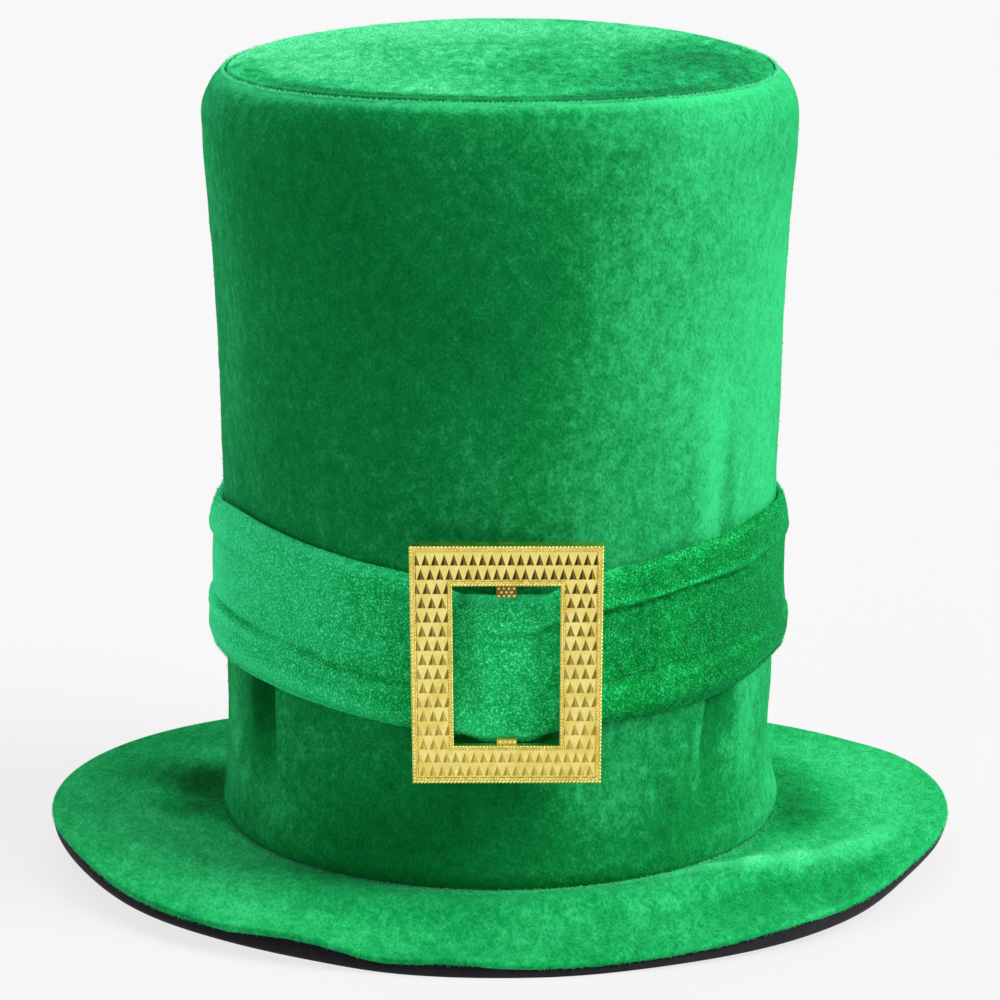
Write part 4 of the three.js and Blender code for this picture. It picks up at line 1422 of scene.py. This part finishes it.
@dataclass
class Brim:
    """The brim: velvet over a thicker black lining that also makes its edge."""

    sizes: HatSizes
    noise: ClothNoise
    sections: int = 420
    top_rows: int = 66
    under_rows: int = 22
    top_edge: float = 0.972
    round: float = 1.1
    corner: float = 2.0

    def swelling(self, rows: Sequence[Swell], azimuth: Array, across: Array) -> Array:
        """Adds up a table's swells and hollows.

        Args:
            rows: the swells.
            azimuth: azimuths in degrees.
            across: shares of the way from the crown to the rim.

        Returns:
            Their heights, as multiples of the swell height.
        """
        total = np.zeros(np.broadcast(azimuth, across).shape)
        for row in rows:
            turn = bump(turn_between(row.azimuth, azimuth), row.spread)
            total = total + row.height * turn * bump(across - row.across, row.reach / 2)
        return total

    def underside(self, azimuth: Array, across: Array) -> Array:
        """Height of the lining's underside.

        Args:
            azimuth: azimuths in degrees.
            across: shares of the way from the crown to the rim.

        Returns:
            The heights.
        """
        s = self.sizes
        seat = s.seam_height - 2 * s.seam_gap - s.brim_lining - s.brim_upper
        rim = s.side_lift * np.maximum(around(RIM, "lift", azimuth), 0.0)
        swell = s.swell_height * self.swelling(BRIM_SWELLS, azimuth, across)
        return seat + (rim - seat) * ease(across / s.rim_strip) + swell

    def lining_top(self, azimuth: Array, across: Array) -> Array:
        """Height of the lining's upper face, with the wave of its edge.

        Args:
            azimuth: azimuths in degrees.
            across: shares of the way from the crown to the rim.

        Returns:
            The heights.
        """
        s = self.sizes
        wave = around(RIM, "edge", azimuth) * ease((across - s.rim_strip) / (1 - s.rim_strip))
        return self.underside(azimuth, across) + s.brim_lining * (1 + wave)

    def point(self, azimuth: Array, across: Array, inset: Array, height: Array) -> Array:
        """Points of the brim.

        Args:
            azimuth: azimuths in degrees.
            across: shares of the way from the crown to the rim.
            inset: how far they are drawn in.
            height: their heights.

        Returns:
            The points.
        """
        s = self.sizes
        corner = bump(turn_between(226.0, azimuth), 15.0) + bump(turn_between(313.0, azimuth), 14.0)
        width = s.base_width + (s.brim_width / 2 - s.base_width) * across - inset
        width = width + self.corner * corner * across**3
        rim_extra = (s.brim_depth - s.brim_width) / 2
        return oval(azimuth, width, s.depth_extra + (rim_extra - s.depth_extra) * across, height)

    def upper_grid(self) -> tuple[Array, Array]:
        """Points of the velvet layer: along its underside, round the rim and back over the top.

        Returns:
            The grid, and how its pile is brushed.
        """
        s = self.sizes
        azimuth = even_azimuths(self.sections)
        one = np.ones((1, 1))
        low = np.linspace(0.0, 0.98, 14)[None, :]
        seat_in = s.crown_wall - s.seam_gap
        under = self.point(azimuth, low, seat_in * (low == 0), self.lining_top(azimuth, low) + s.seam_gap)
        turn = np.radians(np.linspace(-85, 90, 12))[None, :]
        edge = self.lining_top(azimuth, one)
        line = oval(azimuth, 150.0, 6.0, edge)
        frayed = self.noise.mixed(line, ((0.3, 4.0), (0.35, 12.0)))
        lower, upper = edge + 0.1, edge + s.seam_gap + s.brim_upper
        middle, half = (lower + upper) / 2, (upper - lower) / 2
        height = middle + half * np.sin(turn) + frayed * np.maximum(-np.sin(turn), 0.0)
        rim = self.point(azimuth + 0 * turn, one, self.round * (1 - np.cos(turn)), height)
        high = np.linspace(self.top_edge, 0.0, self.top_rows)[None, :]
        face = self.lining_top(azimuth, high) + s.seam_gap + s.brim_upper
        over = self.point(azimuth, high, -s.seam_gap * (high == 0), face)
        soft = self.noise.mixed(over + 700.0, ((0.55, 40.0), (0.3, 15.0), (0.14, 6.0), (0.1, 3.0)))
        over[..., 2] += soft * ease((high - 0.01) / 0.06) * (0.3 + 0.7 * ease((0.99 - high) / 0.08))
        over[..., 2] += s.swell_height * self.swelling(BRIM_RIDGE, azimuth, high) * ease(high / 0.03)
        seat_top = self.lining_top(azimuth, 0 * one) + s.seam_gap + s.brim_upper
        seat = self.point(azimuth, 0 * one, seat_in * one, seat_top)
        grid = np.concatenate([under, rim, over, seat], axis=1)
        across = np.concatenate([low, one + 0 * turn, high, 0 * one], axis=1)
        return grid, painted_light_of(BRIM_PAINTED_LIGHT, azimuth, across)

    def add_fringes(self, parts: MeshParts) -> None:
        """Adds loose fibres along the crown's seam and along the cut edge.

        Args:
            parts: the velvet layer's mesh.
        """
        s = self.sizes
        lift = s.seam_gap + s.brim_upper
        azimuth, share = BRIM_SEAM_FUZZ.scatter()
        across = 0.008 + 0.028 * share
        roots = self.point(azimuth, across, 0.0, self.lining_top(azimuth, across) + lift - 0.15)
        shade = painted_light_of(BRIM_PAINTED_LIGHT, azimuth, across)
        BRIM_SEAM_FUZZ.add(parts, roots, outward(azimuth, -0.25, 1.0), shade)
        azimuth, share = RIM_FUZZ.scatter()
        edge = self.lining_top(azimuth, np.ones(1))
        roots = self.point(azimuth, np.ones(1), 0.35 + 0 * share, edge + 0.35 + 1.3 * share)
        shade = painted_light_of(BRIM_PAINTED_LIGHT, azimuth, np.ones(1)) - 0.05
        RIM_FUZZ.add(parts, roots, outward(azimuth, 1.0, -0.6), shade)

    def lining_grid(self) -> Array:
        """Points of the black layer: along its underside, up its edge and back.

        Returns:
            The grid.
        """
        s = self.sizes
        azimuth = even_azimuths(self.sections)
        one = np.ones((1, 1))
        low = np.linspace(0.0, 0.985, self.under_rows)[None, :]
        seat_in = s.crown_wall - s.seam_gap
        under = self.point(azimuth, low, seat_in * (low == 0), self.underside(azimuth, low))
        soft = self.noise.mixed(under + 900.0, ((0.4, 36.0), (0.15, 11.0)))
        under[..., 2] += np.maximum(soft, -0.2) * ease((1 - low) / 0.2) * ease(low / 0.05)
        turn = np.radians(np.linspace(-90, 20, 8))[None, :]
        height = self.underside(azimuth, one) + self.round * (1 + np.sin(turn))
        rim = self.point(azimuth + 0 * turn, one, 0.5 + self.round * (1 - np.cos(turn)), height)
        last = self.point(azimuth, one, 0.9 * one, self.lining_top(azimuth, one))
        high = np.linspace(0.975, 0.0, 14)[None, :]
        over = self.point(azimuth, high, seat_in * (high == 0), self.lining_top(azimuth, high))
        return np.concatenate([under, rim, last, over], axis=1)

    def build(self, finishes: Finishes) -> list[bpy.types.Object]:
        """Builds the velvet layer and the lining.

        Args:
            finishes: the hat's materials.

        Returns:
            The two pieces.
        """
        parts = MeshParts()
        grid, painted_light = self.upper_grid()
        add_ring(parts, grid, np.zeros(grid.shape[1], np.int32), painted_light)
        self.add_fringes(parts)
        azimuth, share = BRIM_NAP.scatter()
        across = 0.03 + 0.94 * share
        first = grid.shape[1] - self.top_rows - 1
        inwards = (self.top_edge - np.minimum(across, self.top_edge)) / self.top_edge
        roots = read_grid(grid, azimuth, first + inwards * (self.top_rows - 1))
        shade = painted_light_of(BRIM_PAINTED_LIGHT, azimuth, across)
        BRIM_NAP.add(parts, roots, outward(azimuth, 0.3, 1.0), shade)
        upper = parts.make("brim_upper_velvet", (finishes.brim_velvet,))
        dress(upper, "brim_upper")
        parts = MeshParts()
        grid = self.lining_grid()
        add_ring(parts, grid, np.zeros(grid.shape[1], np.int32))
        lining = parts.make("brim_lining_cloth", (finishes.lining,))
        dress(lining, "brim_lining")
        return [upper, lining]


@dataclass
class Band:
    """The hat band: doubled velour with rolled hems and two creases, over the buckle's bar."""

    sizes: HatSizes
    crown: Crown
    noise: ClothNoise
    outside_rows: int = 140
    inside_rows: int = 18
    sag: float = 1.5
    close: float = 0.22
    window_drop: float = 2.0
    side_drop: float = 2.4

    @property
    def buckle_middle(self) -> float:
        """Finds the middle of the buckle's window, which is round the band's lowest stretch.

        Returns:
            Its height.
        """
        s = self.sizes
        pinched = s.band_hem * float(around(BAND_WAY, "hem", np.array([FRONT]))[0])
        return s.band_foot - s.band_dip - pinched - s.seam_gap - s.bar_strut + s.window[1]

    @property
    def buckle_back(self) -> float:
        """Finds the plane of the buckle's back, which is clear of the band behind its sides.

        Returns:
            Its distance in front of the hat's middle.
        """
        s = self.sizes
        width = float(self.crown.width(np.array([FRONT]), np.array([self.buckle_middle]))[0])
        edge = (s.window[0] - abs(s.buckle_offset)) / width
        wall = (width + s.depth_extra) * math.sqrt(1 - edge * edge)
        leaned = s.window[1] * math.tan(math.radians(s.buckle_lean))
        lip = max(row.out for row in BAND_OUTSIDE)
        return wall + lip * s.band_standoff + leaned + s.seam_gap

    def bar_standoff(self, azimuth: Array, height: Array, width: Array) -> Array:
        """How far in front of the crown the band must stand to clear the buckle's bar.

        Args:
            azimuth: azimuths in degrees.
            height: heights in millimetres.
            width: the crown's half width there.

        Returns:
            The distances, 0 away from the bar.
        """
        s = self.sizes
        angle = np.radians(azimuth)
        across = width * np.cos(angle) - s.buckle_offset
        lean = math.tan(math.radians(s.buckle_lean))
        front = self.buckle_back - s.bar_setback + (height - self.buckle_middle) * lean
        wall = (width + s.depth_extra) * np.abs(np.sin(angle))
        near = 1 - ease((np.abs(across) - s.bar_width) / (s.window[0] - s.bar_width))
        return np.where(np.sin(angle) < 0, near * (front + s.seam_gap - wall), 0.0)

    def azimuths(self) -> Array:
        """Finds the azimuths of the sections, closest together in the buckle's window.

        Returns:
            The azimuths in degrees, in rising order.
        """
        near = np.arange(FRONT - 24, FRONT + 24, 0.4)
        far = np.linspace(FRONT + 24, FRONT + 336, 320, endpoint=False)
        return np.sort(np.mod(np.concatenate([near, far]), 360.0))

    def relief(self, azimuth: Array, up: Array) -> Array:
        """Creases of the band, and the folds that stand up beside them.

        Args:
            azimuth: azimuths in degrees.
            up: shares of the band's height.

        Returns:
            Heights in millimetres, outwards.
        """
        upper = np.clip(around(BAND_WAY, "upper", azimuth), 0.0, 1.0)
        lower = np.clip(around(BAND_WAY, "lower", azimuth), 0.0, 1.0)
        angle = np.radians(azimuth)
        wander = 0.01 * np.sin(angle * 5) + 0.007 * np.sin(angle * 13 + 0.7)
        high = up - 0.737 - wander
        low = up - 0.222 + 0.04 * np.cos(angle) - wander
        fold = np.exp(-(((high - 0.02) / 0.05) ** 2)) * ease((high + 0.004) / 0.012)
        hem = np.exp(-(((low + 0.03) / 0.05) ** 2)) * ease((0.006 - low) / 0.014)
        found = upper * (1.5 * fold - 1.2 * bump(high + 0.012, 0.02))
        return found + lower * (1.0 * hem - 1.3 * bump(low - 0.012, 0.022))

    def surface(self, azimuth: Array, rows: Array, outer: Array) -> Array:
        """Points of the band's surface.

        Args:
            azimuth: azimuths in degrees, one for each section.
            rows: shares of its height, hem and stand-off, one for each row.
            outer: which rows are on the outside.

        Returns:
            The points by section and row.
        """
        s = self.sizes
        up, under, out = (rows[..., i] for i in range(3))
        foot = s.band_foot - s.band_dip * np.clip(around(BAND_WAY, "dip", azimuth), 0.0, 1.0)
        hem = s.band_hem * np.clip(around(BAND_WAY, "hem", azimuth), 0.0, 1.0)
        middle = turn_between(FRONT + 1.0, azimuth)
        height = foot + up * s.band_height - under * hem
        trial = oval(azimuth, 100.0, s.depth_extra, height)
        loose = ease((np.abs(middle) - 6.0) / 10.0)
        height = height + self.noise.mixed(trial, ((0.35, 16.0), (0.4, 38.0))) * loose
        height = height - self.sag * bump(middle, 4.5) * ease((0.35 - up) / 0.35)
        height = height - self.window_drop * bump(np.abs(middle) - 9.0, 2.5) * ease((up - 0.8) / 0.2)
        beside_left = bump(turn_between(180.0, azimuth), 12.0)
        height = height - self.side_drop * beside_left * ease((up - 0.7) / 0.3)
        width = self.crown.width(azimuth + 0 * height, height)
        body = 0.55 + 0.45 * ease(np.minimum(up, 1 - up) * 8)
        relief = np.where(outer & (up > 0) & (up < 1), self.relief(azimuth, up), 0.0)
        soft = self.noise.mixed(trial + 400.0, ((0.4, 30.0), (0.22, 11.0), (0.1, 3.5)))
        toward = np.cos(np.radians(azimuth))
        drawn = np.where(toward > 0, self.close, 0.14 * ease((up - 0.5) / 0.25))
        beside = 1 - drawn * toward**4
        own = np.maximum(out * s.band_standoff * beside, s.seam_gap)
        needed = self.bar_standoff(azimuth, height, width) + np.where(outer, s.band_cloth * body, 0.0)
        stand = np.maximum(own, needed) + np.where(outer, relief + soft * ease(out * 2), 0.0)
        return oval(azimuth, width + np.maximum(stand, 0.1), s.depth_extra, height)

    def profile(self) -> tuple[Array, Array]:
        """Finds the rows of the band's section.

        Returns:
            Each row's shares of the height, hem and stand-off, and whether it is on the outside.
        """
        s = self.sizes
        loop = np.array(BAND_OUTSIDE + BAND_INSIDE + (BAND_OUTSIDE[0],))
        shape = loop * np.array([s.band_height, -s.band_hem, s.band_standoff])
        step = np.hypot(np.diff(shape[:, 0] + shape[:, 1]), np.diff(shape[:, 2]))
        place = np.concatenate([[0.0], np.cumsum(np.sqrt(step * (step + 1.0)))])
        split = place[len(BAND_OUTSIDE) - 1]
        outside = np.linspace(0.0, split, self.outside_rows, endpoint=False)
        inside = np.linspace(split, place[-1], self.inside_rows, endpoint=False)
        read = np.concatenate([outside, inside])
        return spline(place, loop, read), read <= split

    def build(self, finishes: Finishes) -> bpy.types.Object:
        """Builds the band.

        Args:
            finishes: the hat's materials.

        Returns:
            The piece.
        """
        rows, outer = self.profile()
        azimuth = self.azimuths()[:, None]
        grid = self.surface(azimuth, rows[None], outer[None])
        parts = MeshParts()
        painted_light = painted_light_of(BAND_PAINTED_LIGHT, azimuth, rows[None, :, 0])
        add_ring(parts, grid, np.zeros(grid.shape[1], np.int32), painted_light)
        top, hem = (BAND_TOP_FUZZ, self.outside_rows - 10, (0.8, 0.9)), (BAND_HEM_FUZZ, 6, (1.0, -0.5))
        for fuzz, first, way in (top, hem):
            around_hat, share = fuzz.scatter()
            row = first + (9 * share).astype(int)
            roots = self.surface(around_hat[:, None], rows[row][:, None], outer[row][:, None])[:, 0]
            shade = painted_light_of(BAND_PAINTED_LIGHT, around_hat, rows[row, 0])
            fuzz.add(parts, roots, outward(around_hat, *way), shade)
        band = parts.make("hat_band_velour", (finishes.velour,))
        dress(band, "hat_band")
        return band


class Side(NamedTuple):
    """One side of the buckle's frame: outer and inner distance from the middle."""

    outer: float
    inner: float


@dataclass
class Buckle:
    """The slide buckle: a hollow-backed frame with beaded borders, rows of studs and a bar."""

    sizes: HatSizes
    back: float
    middle: float
    raised: float = 1.1
    crest: float = 0.6
    roll: float = -0.1
    taper: float = 0.4
    shift: float = -0.27
    outer_border: float = 2.1
    inner_border: float = 1.7
    face: float = 1.7
    wall: float = 1.3
    relief: float = 0.5
    stud_relief: float = 1.2
    columns: int = 19
    side_rows: int = 12
    end_rows: int = 2
    bead: float = 0.56
    lip: float = 2.6
    tab_bead: float = 0.55
    parts: MeshParts = field(default_factory=MeshParts)
    flat_from: list[tuple[int, int]] = field(default_factory=list)

    @property
    def across(self) -> Side:
        """Half widths of the frame and of its window."""
        inner = self.sizes.window[0]
        return Side(inner + self.sizes.buckle_side, inner)

    @property
    def above(self) -> Side:
        """Heights of the frame's top and of its window's top over the middle."""
        inner = self.sizes.window[1]
        return Side(inner + self.sizes.buckle_end + self.crest, inner)

    @property
    def below(self) -> Side:
        """Depths of the frame's foot and of its window's foot under the middle."""
        inner = self.sizes.window[1]
        return Side(inner + self.sizes.buckle_end - self.raised, inner - self.raised)

    @property
    def front(self) -> float:
        """Depth coordinate of the sunk field that the studs stand on."""
        return -self.sizes.buckle_thick + self.relief

    def ring(self, share: float) -> tuple[float, float, float]:
        """Finds a rectangle between the frame's outer edge and its window.

        Args:
            share: 0 at the outer edge, 1 at the window.

        Returns:
            Its half width, and how far its top and its foot are from the middle.
        """
        pairs = (self.across, self.above, self.below)
        return tuple(side.outer + (side.inner - side.outer) * share for side in pairs)

    def add_frame(self) -> None:
        """Adds the frame, its section swept round four mitred corners with eased edges."""
        full, r = self.sizes.buckle_side, 0.3
        top = -self.sizes.buckle_thick
        rim, sill = self.outer_border, full - self.inner_border
        floor = self.front + self.face
        section = [
            (0.0, 0.0), (0.0, top + r), (r * 0.3, top + r * 0.3), (r, top),
            (rim - r, top), (rim, top + r), (rim + 0.05, self.front),
            (sill - 0.05, self.front), (sill, top + r), (sill + r, top),
            (full - r, top), (full - r * 0.3, top + r * 0.3), (full, top + r),
            (full, top + self.lip), (full - self.wall, top + self.lip), (full - self.wall, floor),
            (self.wall, floor), (self.wall, 0.0),
        ]
        turns = 5
        points = []
        for quarter, (way_x, way_z) in enumerate(((1, 1), (-1, 1), (-1, -1), (1, -1))):
            for step in range(turns):
                angle = math.radians(90 * quarter + 90 * step / (turns - 1))
                for across, depth in section:
                    wide, high, low = self.ring(across / full)
                    radius = max(1.1 - across, 0.0)
                    x = way_x * (wide - radius) + radius * math.cos(angle)
                    z = (high - radius if way_z > 0 else radius - low) + radius * math.sin(angle)
                    points.append((x, depth, z))
        faces = ring_faces(4 * turns, len(section)).tolist()
        self.parts.add(np.array(points), [face[::-1] for face in faces], 0)
        self.flat_from.append((0, len(faces)))

    def add_beads(self, inset: float, radius: float) -> None:
        """Adds a row of round beads on the frame's face, along a rectangle.

        Args:
            inset: distance of the row from the outer edge.
            radius: radius of a bead.
        """
        wide, high, low = self.ring(inset / self.sizes.buckle_side)
        places = []
        for length, start, way in (
            (2 * wide, (-wide, high), (1, 0)),
            (high + low, (wide, high), (0, -1)),
            (2 * wide, (wide, -low), (-1, 0)),
            (high + low, (-wide, -low), (0, 1)),
        ):
            count = max(int(round(length / (2.15 * radius))), 1)
            for i in range(count):
                step = i / count * length
                places.append((start[0] + way[0] * step, start[1] + way[1] * step))
        shape, faces = bead_shape(radius)
        for x, z in places:
            self.parts.add(shape + np.array([x, -self.sizes.buckle_thick - 0.05, z]), faces)

    def add_stud(self, x: float, z: float, width: float, tall: float, low: float, high: float) -> None:
        """Adds one upright three-sided stud, cut off where a border begins.

        Args:
            x: middle of its foot.
            z: height of its foot.
            width: width of its foot.
            tall: its height on the face.
            low: left end of the field.
            high: right end of the field.
        """
        base, peak = self.front + 0.05, self.front - self.stud_relief
        points = np.array([
            (x - width / 2, base, z), (x + width / 2, base, z), (x, base, z + tall),
            (x, peak, z + tall * 0.12),
        ])
        points[:, 0] = np.clip(points[:, 0], low, high)
        if points[1, 0] - points[0, 0] < 0.35 * width:
            return
        # The left facet takes the dark painted reflection (slot 1), the right facet the lighter one (slot
        # 2).
        self.parts.add(points, [[0, 1, 3], [1, 2, 3], [2, 0, 3], [0, 2, 1]], [0, 2, 1, 0])

    def add_studs(self) -> None:
        """Adds the studs: staggered rows above and below the window and on both sides of it."""
        edge = self.across.outer - self.outer_border
        pitch = 2 * edge / self.columns
        sill = self.across.inner + self.inner_border
        window_top = self.above.inner + self.inner_border
        window_foot = -self.below.inner - self.inner_border
        field_top = self.above.outer - self.outer_border
        field_foot = -self.below.outer + self.outer_border
        bands = (
            (field_foot, window_foot, self.end_rows, False),
            (window_foot, window_top, self.side_rows, True),
            (window_top, field_top, self.end_rows, False),
        )
        rows = []
        for foot, top, count, split in bands:
            tall = (top - foot) / count
            rows += [(foot + k * tall, tall, split) for k in range(count)]
        for number, (foot, tall, split) in enumerate(rows):
            shift = 0.5 if number % 2 else 0.0
            for low, high in ((-edge, -sill), (sill, edge)) if split else ((-edge, edge),):
                count = int(round((high - low) / pitch))
                step = (high - low) / count
                for i in range(count + 1):
                    middle = low + (i + 0.5 - shift) * step
                    if middle <= high + 0.01:
                        self.add_stud(middle, foot + 0.25, step * 0.86, (tall - 0.25) * 0.9, low, high)

    def add_block(self, low: Sequence[float], high: Sequence[float], slot: int = 0) -> None:
        """Adds a rectangular block.

        Args:
            low: its lowest corner.
            high: its highest corner.
            slot: the slot of its finish.
        """
        (x0, y0, z0), (x1, y1, z1) = low, high
        corners = [(x, y, z) for x in (x0, x1) for y in (y0, y1) for z in (z0, z1)]
        faces = [[0, 1, 3, 2], [4, 6, 7, 5], [0, 4, 5, 1], [2, 3, 7, 6], [0, 2, 6, 4], [1, 5, 7, 3]]
        self.flat_from.append((len(self.parts.faces), 6))
        self.parts.add(np.array(corners), faces, slot)

    def add_bar(self) -> None:
        """Adds the bar, and the small studded tabs that carry it in the window."""
        s = self.sizes
        half = s.bar_width / 2
        top, foot = self.above.inner, -self.below.inner
        back = s.bar_setback + s.bar_thick
        self.add_block((-half, s.bar_setback, foot - 0.3), (half, back, top + 0.3))
        # The two tabs take the studs' dark painted reflection.
        self.add_block((-half, self.front + 0.3, top - s.bar_tab), (half, back, top + 0.3), 1)
        self.add_block((-half, self.front + 0.3, foot - 0.3), (half, back, foot + s.bar_strut), 1)
        shape, faces = bead_shape(self.tab_bead)
        for row in range(3):
            count = 4 - row % 2
            for i in range(count):
                x = (i - (count - 1) / 2) * 1.6
                self.parts.add(shape + np.array([x, self.front + 0.3, top - 0.9 - row * 1.25]), faces)
                if row < 1:
                    self.parts.add(shape + np.array([x, self.front + 0.3, foot + 0.95]), faces)

    def place(self, points: Array) -> Array:
        """Leans, rolls and moves points from the buckle's own frame to the hat's.

        Args:
            points: points in the buckle's frame.

        Returns:
            The points on the hat.
        """
        lean, roll = math.radians(self.sizes.buckle_lean), math.radians(self.roll)
        points = points.copy()
        points[:, 0] *= 1 + self.taper / self.across.outer * points[:, 2] / self.above.outer
        rolled = np.array([
            [math.cos(roll), 0, math.sin(roll)], [0, 1, 0], [-math.sin(roll), 0, math.cos(roll)],
        ])
        leaned = np.array([
            [1, 0, 0], [0, math.cos(lean), -math.sin(lean)], [0, math.sin(lean), math.cos(lean)],
        ])
        moved = np.array([self.sizes.buckle_offset + self.shift, -self.back, self.middle])
        return points @ (leaned @ rolled).T + moved

    def build(self, finishes: Finishes) -> bpy.types.Object:
        """Builds the buckle.

        Args:
            finishes: the hat's materials.

        Returns:
            The piece.
        """
        self.add_frame()
        full = self.sizes.buckle_side
        for inset, radius in ((0.45, self.bead), (1.5, 0.4), (full - 0.45, 0.5), (full - 1.3, 0.36)):
            self.add_beads(inset, radius)
        self.add_studs()
        self.add_bar()
        self.parts.points = [self.place(points) for points in self.parts.points]
        slots = (finishes.gold, finishes.stud_left_painted_reflection, finishes.stud_right_painted_reflection)
        buckle = self.parts.make("slide_buckle", slots)
        smooth = np.array([len(face) == 4 for face in self.parts.faces])
        for start, count in self.flat_from:
            smooth[start: start + count] = False
        buckle.data.polygons.foreach_set("use_smooth", smooth)
        buckle.data.update()
        dress(buckle, "buckle")
        return buckle


def bead_shape(radius: float, sides: int = 8, rings: int = 5) -> tuple[Array, list[list[int]]]:
    """Points and faces of a small round bead.

    Args:
        radius: its radius.
        sides: number of its sides.
        rings: number of bands from pole to pole.

    Returns:
        The points about its middle, and its faces.
    """
    points = [(0.0, -radius, 0.0)]
    for ring in range(1, rings):
        tilt = math.pi * ring / rings
        for side in range(sides):
            turn = 2 * math.pi * side / sides
            flat = radius * math.sin(tilt)
            points.append((flat * math.cos(turn), -radius * math.cos(tilt), flat * math.sin(turn)))
    points.append((0.0, radius, 0.0))
    faces = []
    for side in range(sides):
        after = (side + 1) % sides
        faces.append([0, 1 + side, 1 + after])
        for ring in range(rings - 2):
            low, high = 1 + ring * sides, 1 + (ring + 1) * sides
            faces.append([low + side, high + side, high + after, low + after])
        last = 1 + (rings - 2) * sides
        faces.append([last + side, len(points) - 1, last + after])
    return np.array(points), faces


# Setting


@dataclass(frozen=True)
class SoftLight:
    """A far, broad light: its azimuth and elevation in degrees, its spread and its strength."""

    name: str
    azimuth: float
    elevation: float
    spread: float
    strength: float


@dataclass
class Studio:
    """Pale floor, soft lights and the camera at the photograph's angle."""

    room_light: float = 0.35
    floor_grey: float = 0.11
    floor_glow: float = 0.77
    floor_reach: float = 30.0
    lens: float = 185.27
    camera_back: float = 1.701
    camera_height: float = 0.50007
    camera_drop: float = 0.22078
    lights: tuple[SoftLight, ...] = (
        SoftLight("key_right", 345, 42, 38, 3.6),
        SoftLight("top_back", 100, 62, 50, 1.3),
        SoftLight("fill_left", 230, 25, 50, 0.35),
    )

    def add_lights(self) -> None:
        """Adds the lights, each shining towards the hat."""
        for light in self.lights:
            data = bpy.data.lights.new(light.name, "SUN")
            data.angle = math.radians(light.spread)
            data.energy = light.strength
            obj = bpy.data.objects.new(light.name, data)
            tilt = math.radians(90 - light.elevation)
            obj.rotation_euler = (tilt, 0.0, math.radians(light.azimuth + 90))
            turn = math.radians(light.azimuth)
            obj.location = (1.5 * math.cos(turn), 1.5 * math.sin(turn), 1.5)
            show(obj)

    def add_floor(self) -> None:
        """Adds the pale floor and the even light of a white room."""
        material, tree, shader = start_material("studio_floor")
        place = tree.node("ShaderNodeTexCoord")
        cloud = tree.noise(place.outputs["Object"], 3.0, 2.0)
        low, high = self.floor_grey * 0.99, self.floor_grey * 1.01
        tree.plug(tree.mix(cloud, (low, low, low, 1), (high, high, high, 1)), shader.inputs["Base Color"])
        shader.inputs["Roughness"].default_value = 0.95
        shader.inputs["Specular IOR Level"].default_value = 0.0
        shader.inputs["Emission Color"].default_value = (1.0, 1.0, 1.0, 1.0)
        shader.inputs["Emission Strength"].default_value = self.floor_glow
        reach = self.floor_reach
        corners = [(-reach, -reach, 0), (reach, -reach, 0), (reach, reach, 0), (-reach, reach, 0)]
        mesh = bpy.data.meshes.new("studio_floor")
        mesh.from_pydata(corners, [], [(0, 1, 2, 3)])
        mesh.materials.append(material)
        floor = bpy.data.objects.new("studio_floor", mesh)
        show(floor)
        world = bpy.data.worlds.new("studio_room")
        world.use_nodes = True
        world.node_tree.nodes["Background"].inputs[0].default_value = (1.0, 1.0, 1.0, 1.0)
        world.node_tree.nodes["Background"].inputs[1].default_value = self.room_light
        bpy.context.scene.world = world

    def add_camera(self) -> None:
        """Adds the camera where the photograph was taken from, with the photograph's lens."""
        data = bpy.data.cameras.new("portrait_camera")
        data.sensor_width = 36.0
        data.sensor_fit = "HORIZONTAL"
        data.lens = self.lens
        data.clip_start = 0.05
        camera = bpy.data.objects.new("portrait_camera", data)
        camera.location = (0.0, -self.camera_back, self.camera_height)
        camera.rotation_euler = (math.pi / 2 - self.camera_drop, 0.0, 0.0)
        show(camera)
        bpy.context.scene.camera = camera

    def build(self) -> None:
        """Adds the camera, the floor and the lights."""
        bpy.context.scene.view_settings.view_transform = "Standard"
        self.add_camera()
        self.add_floor()
        self.add_lights()


def main() -> None:
    """Builds the studio and every piece of the hat."""
    logging.basicConfig(level=logging.INFO, format="%(message)s")
    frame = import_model()
    LOG.info("frame: %d solids", len(frame["nodes"]))
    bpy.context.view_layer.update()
    sizes = HatSizes()
    Studio().build()
    finishes = Finishes.make()
    crown = Crown(sizes, ClothNoise(11))
    band = Band(sizes, crown, ClothNoise(23))
    pieces = crown.build(finishes)
    pieces += Brim(sizes, ClothNoise(37)).build(finishes)
    buckle = Buckle(sizes, band.buckle_back, band.buckle_middle).build(finishes)
    pieces += [band.build(finishes), buckle]
    for piece in pieces:
        triangles = sum(len(face.vertices) - 2 for face in piece.data.polygons)
        LOG.info("%s: %d triangles", piece.name, triangles)


if __name__ == "__main__":
    main()
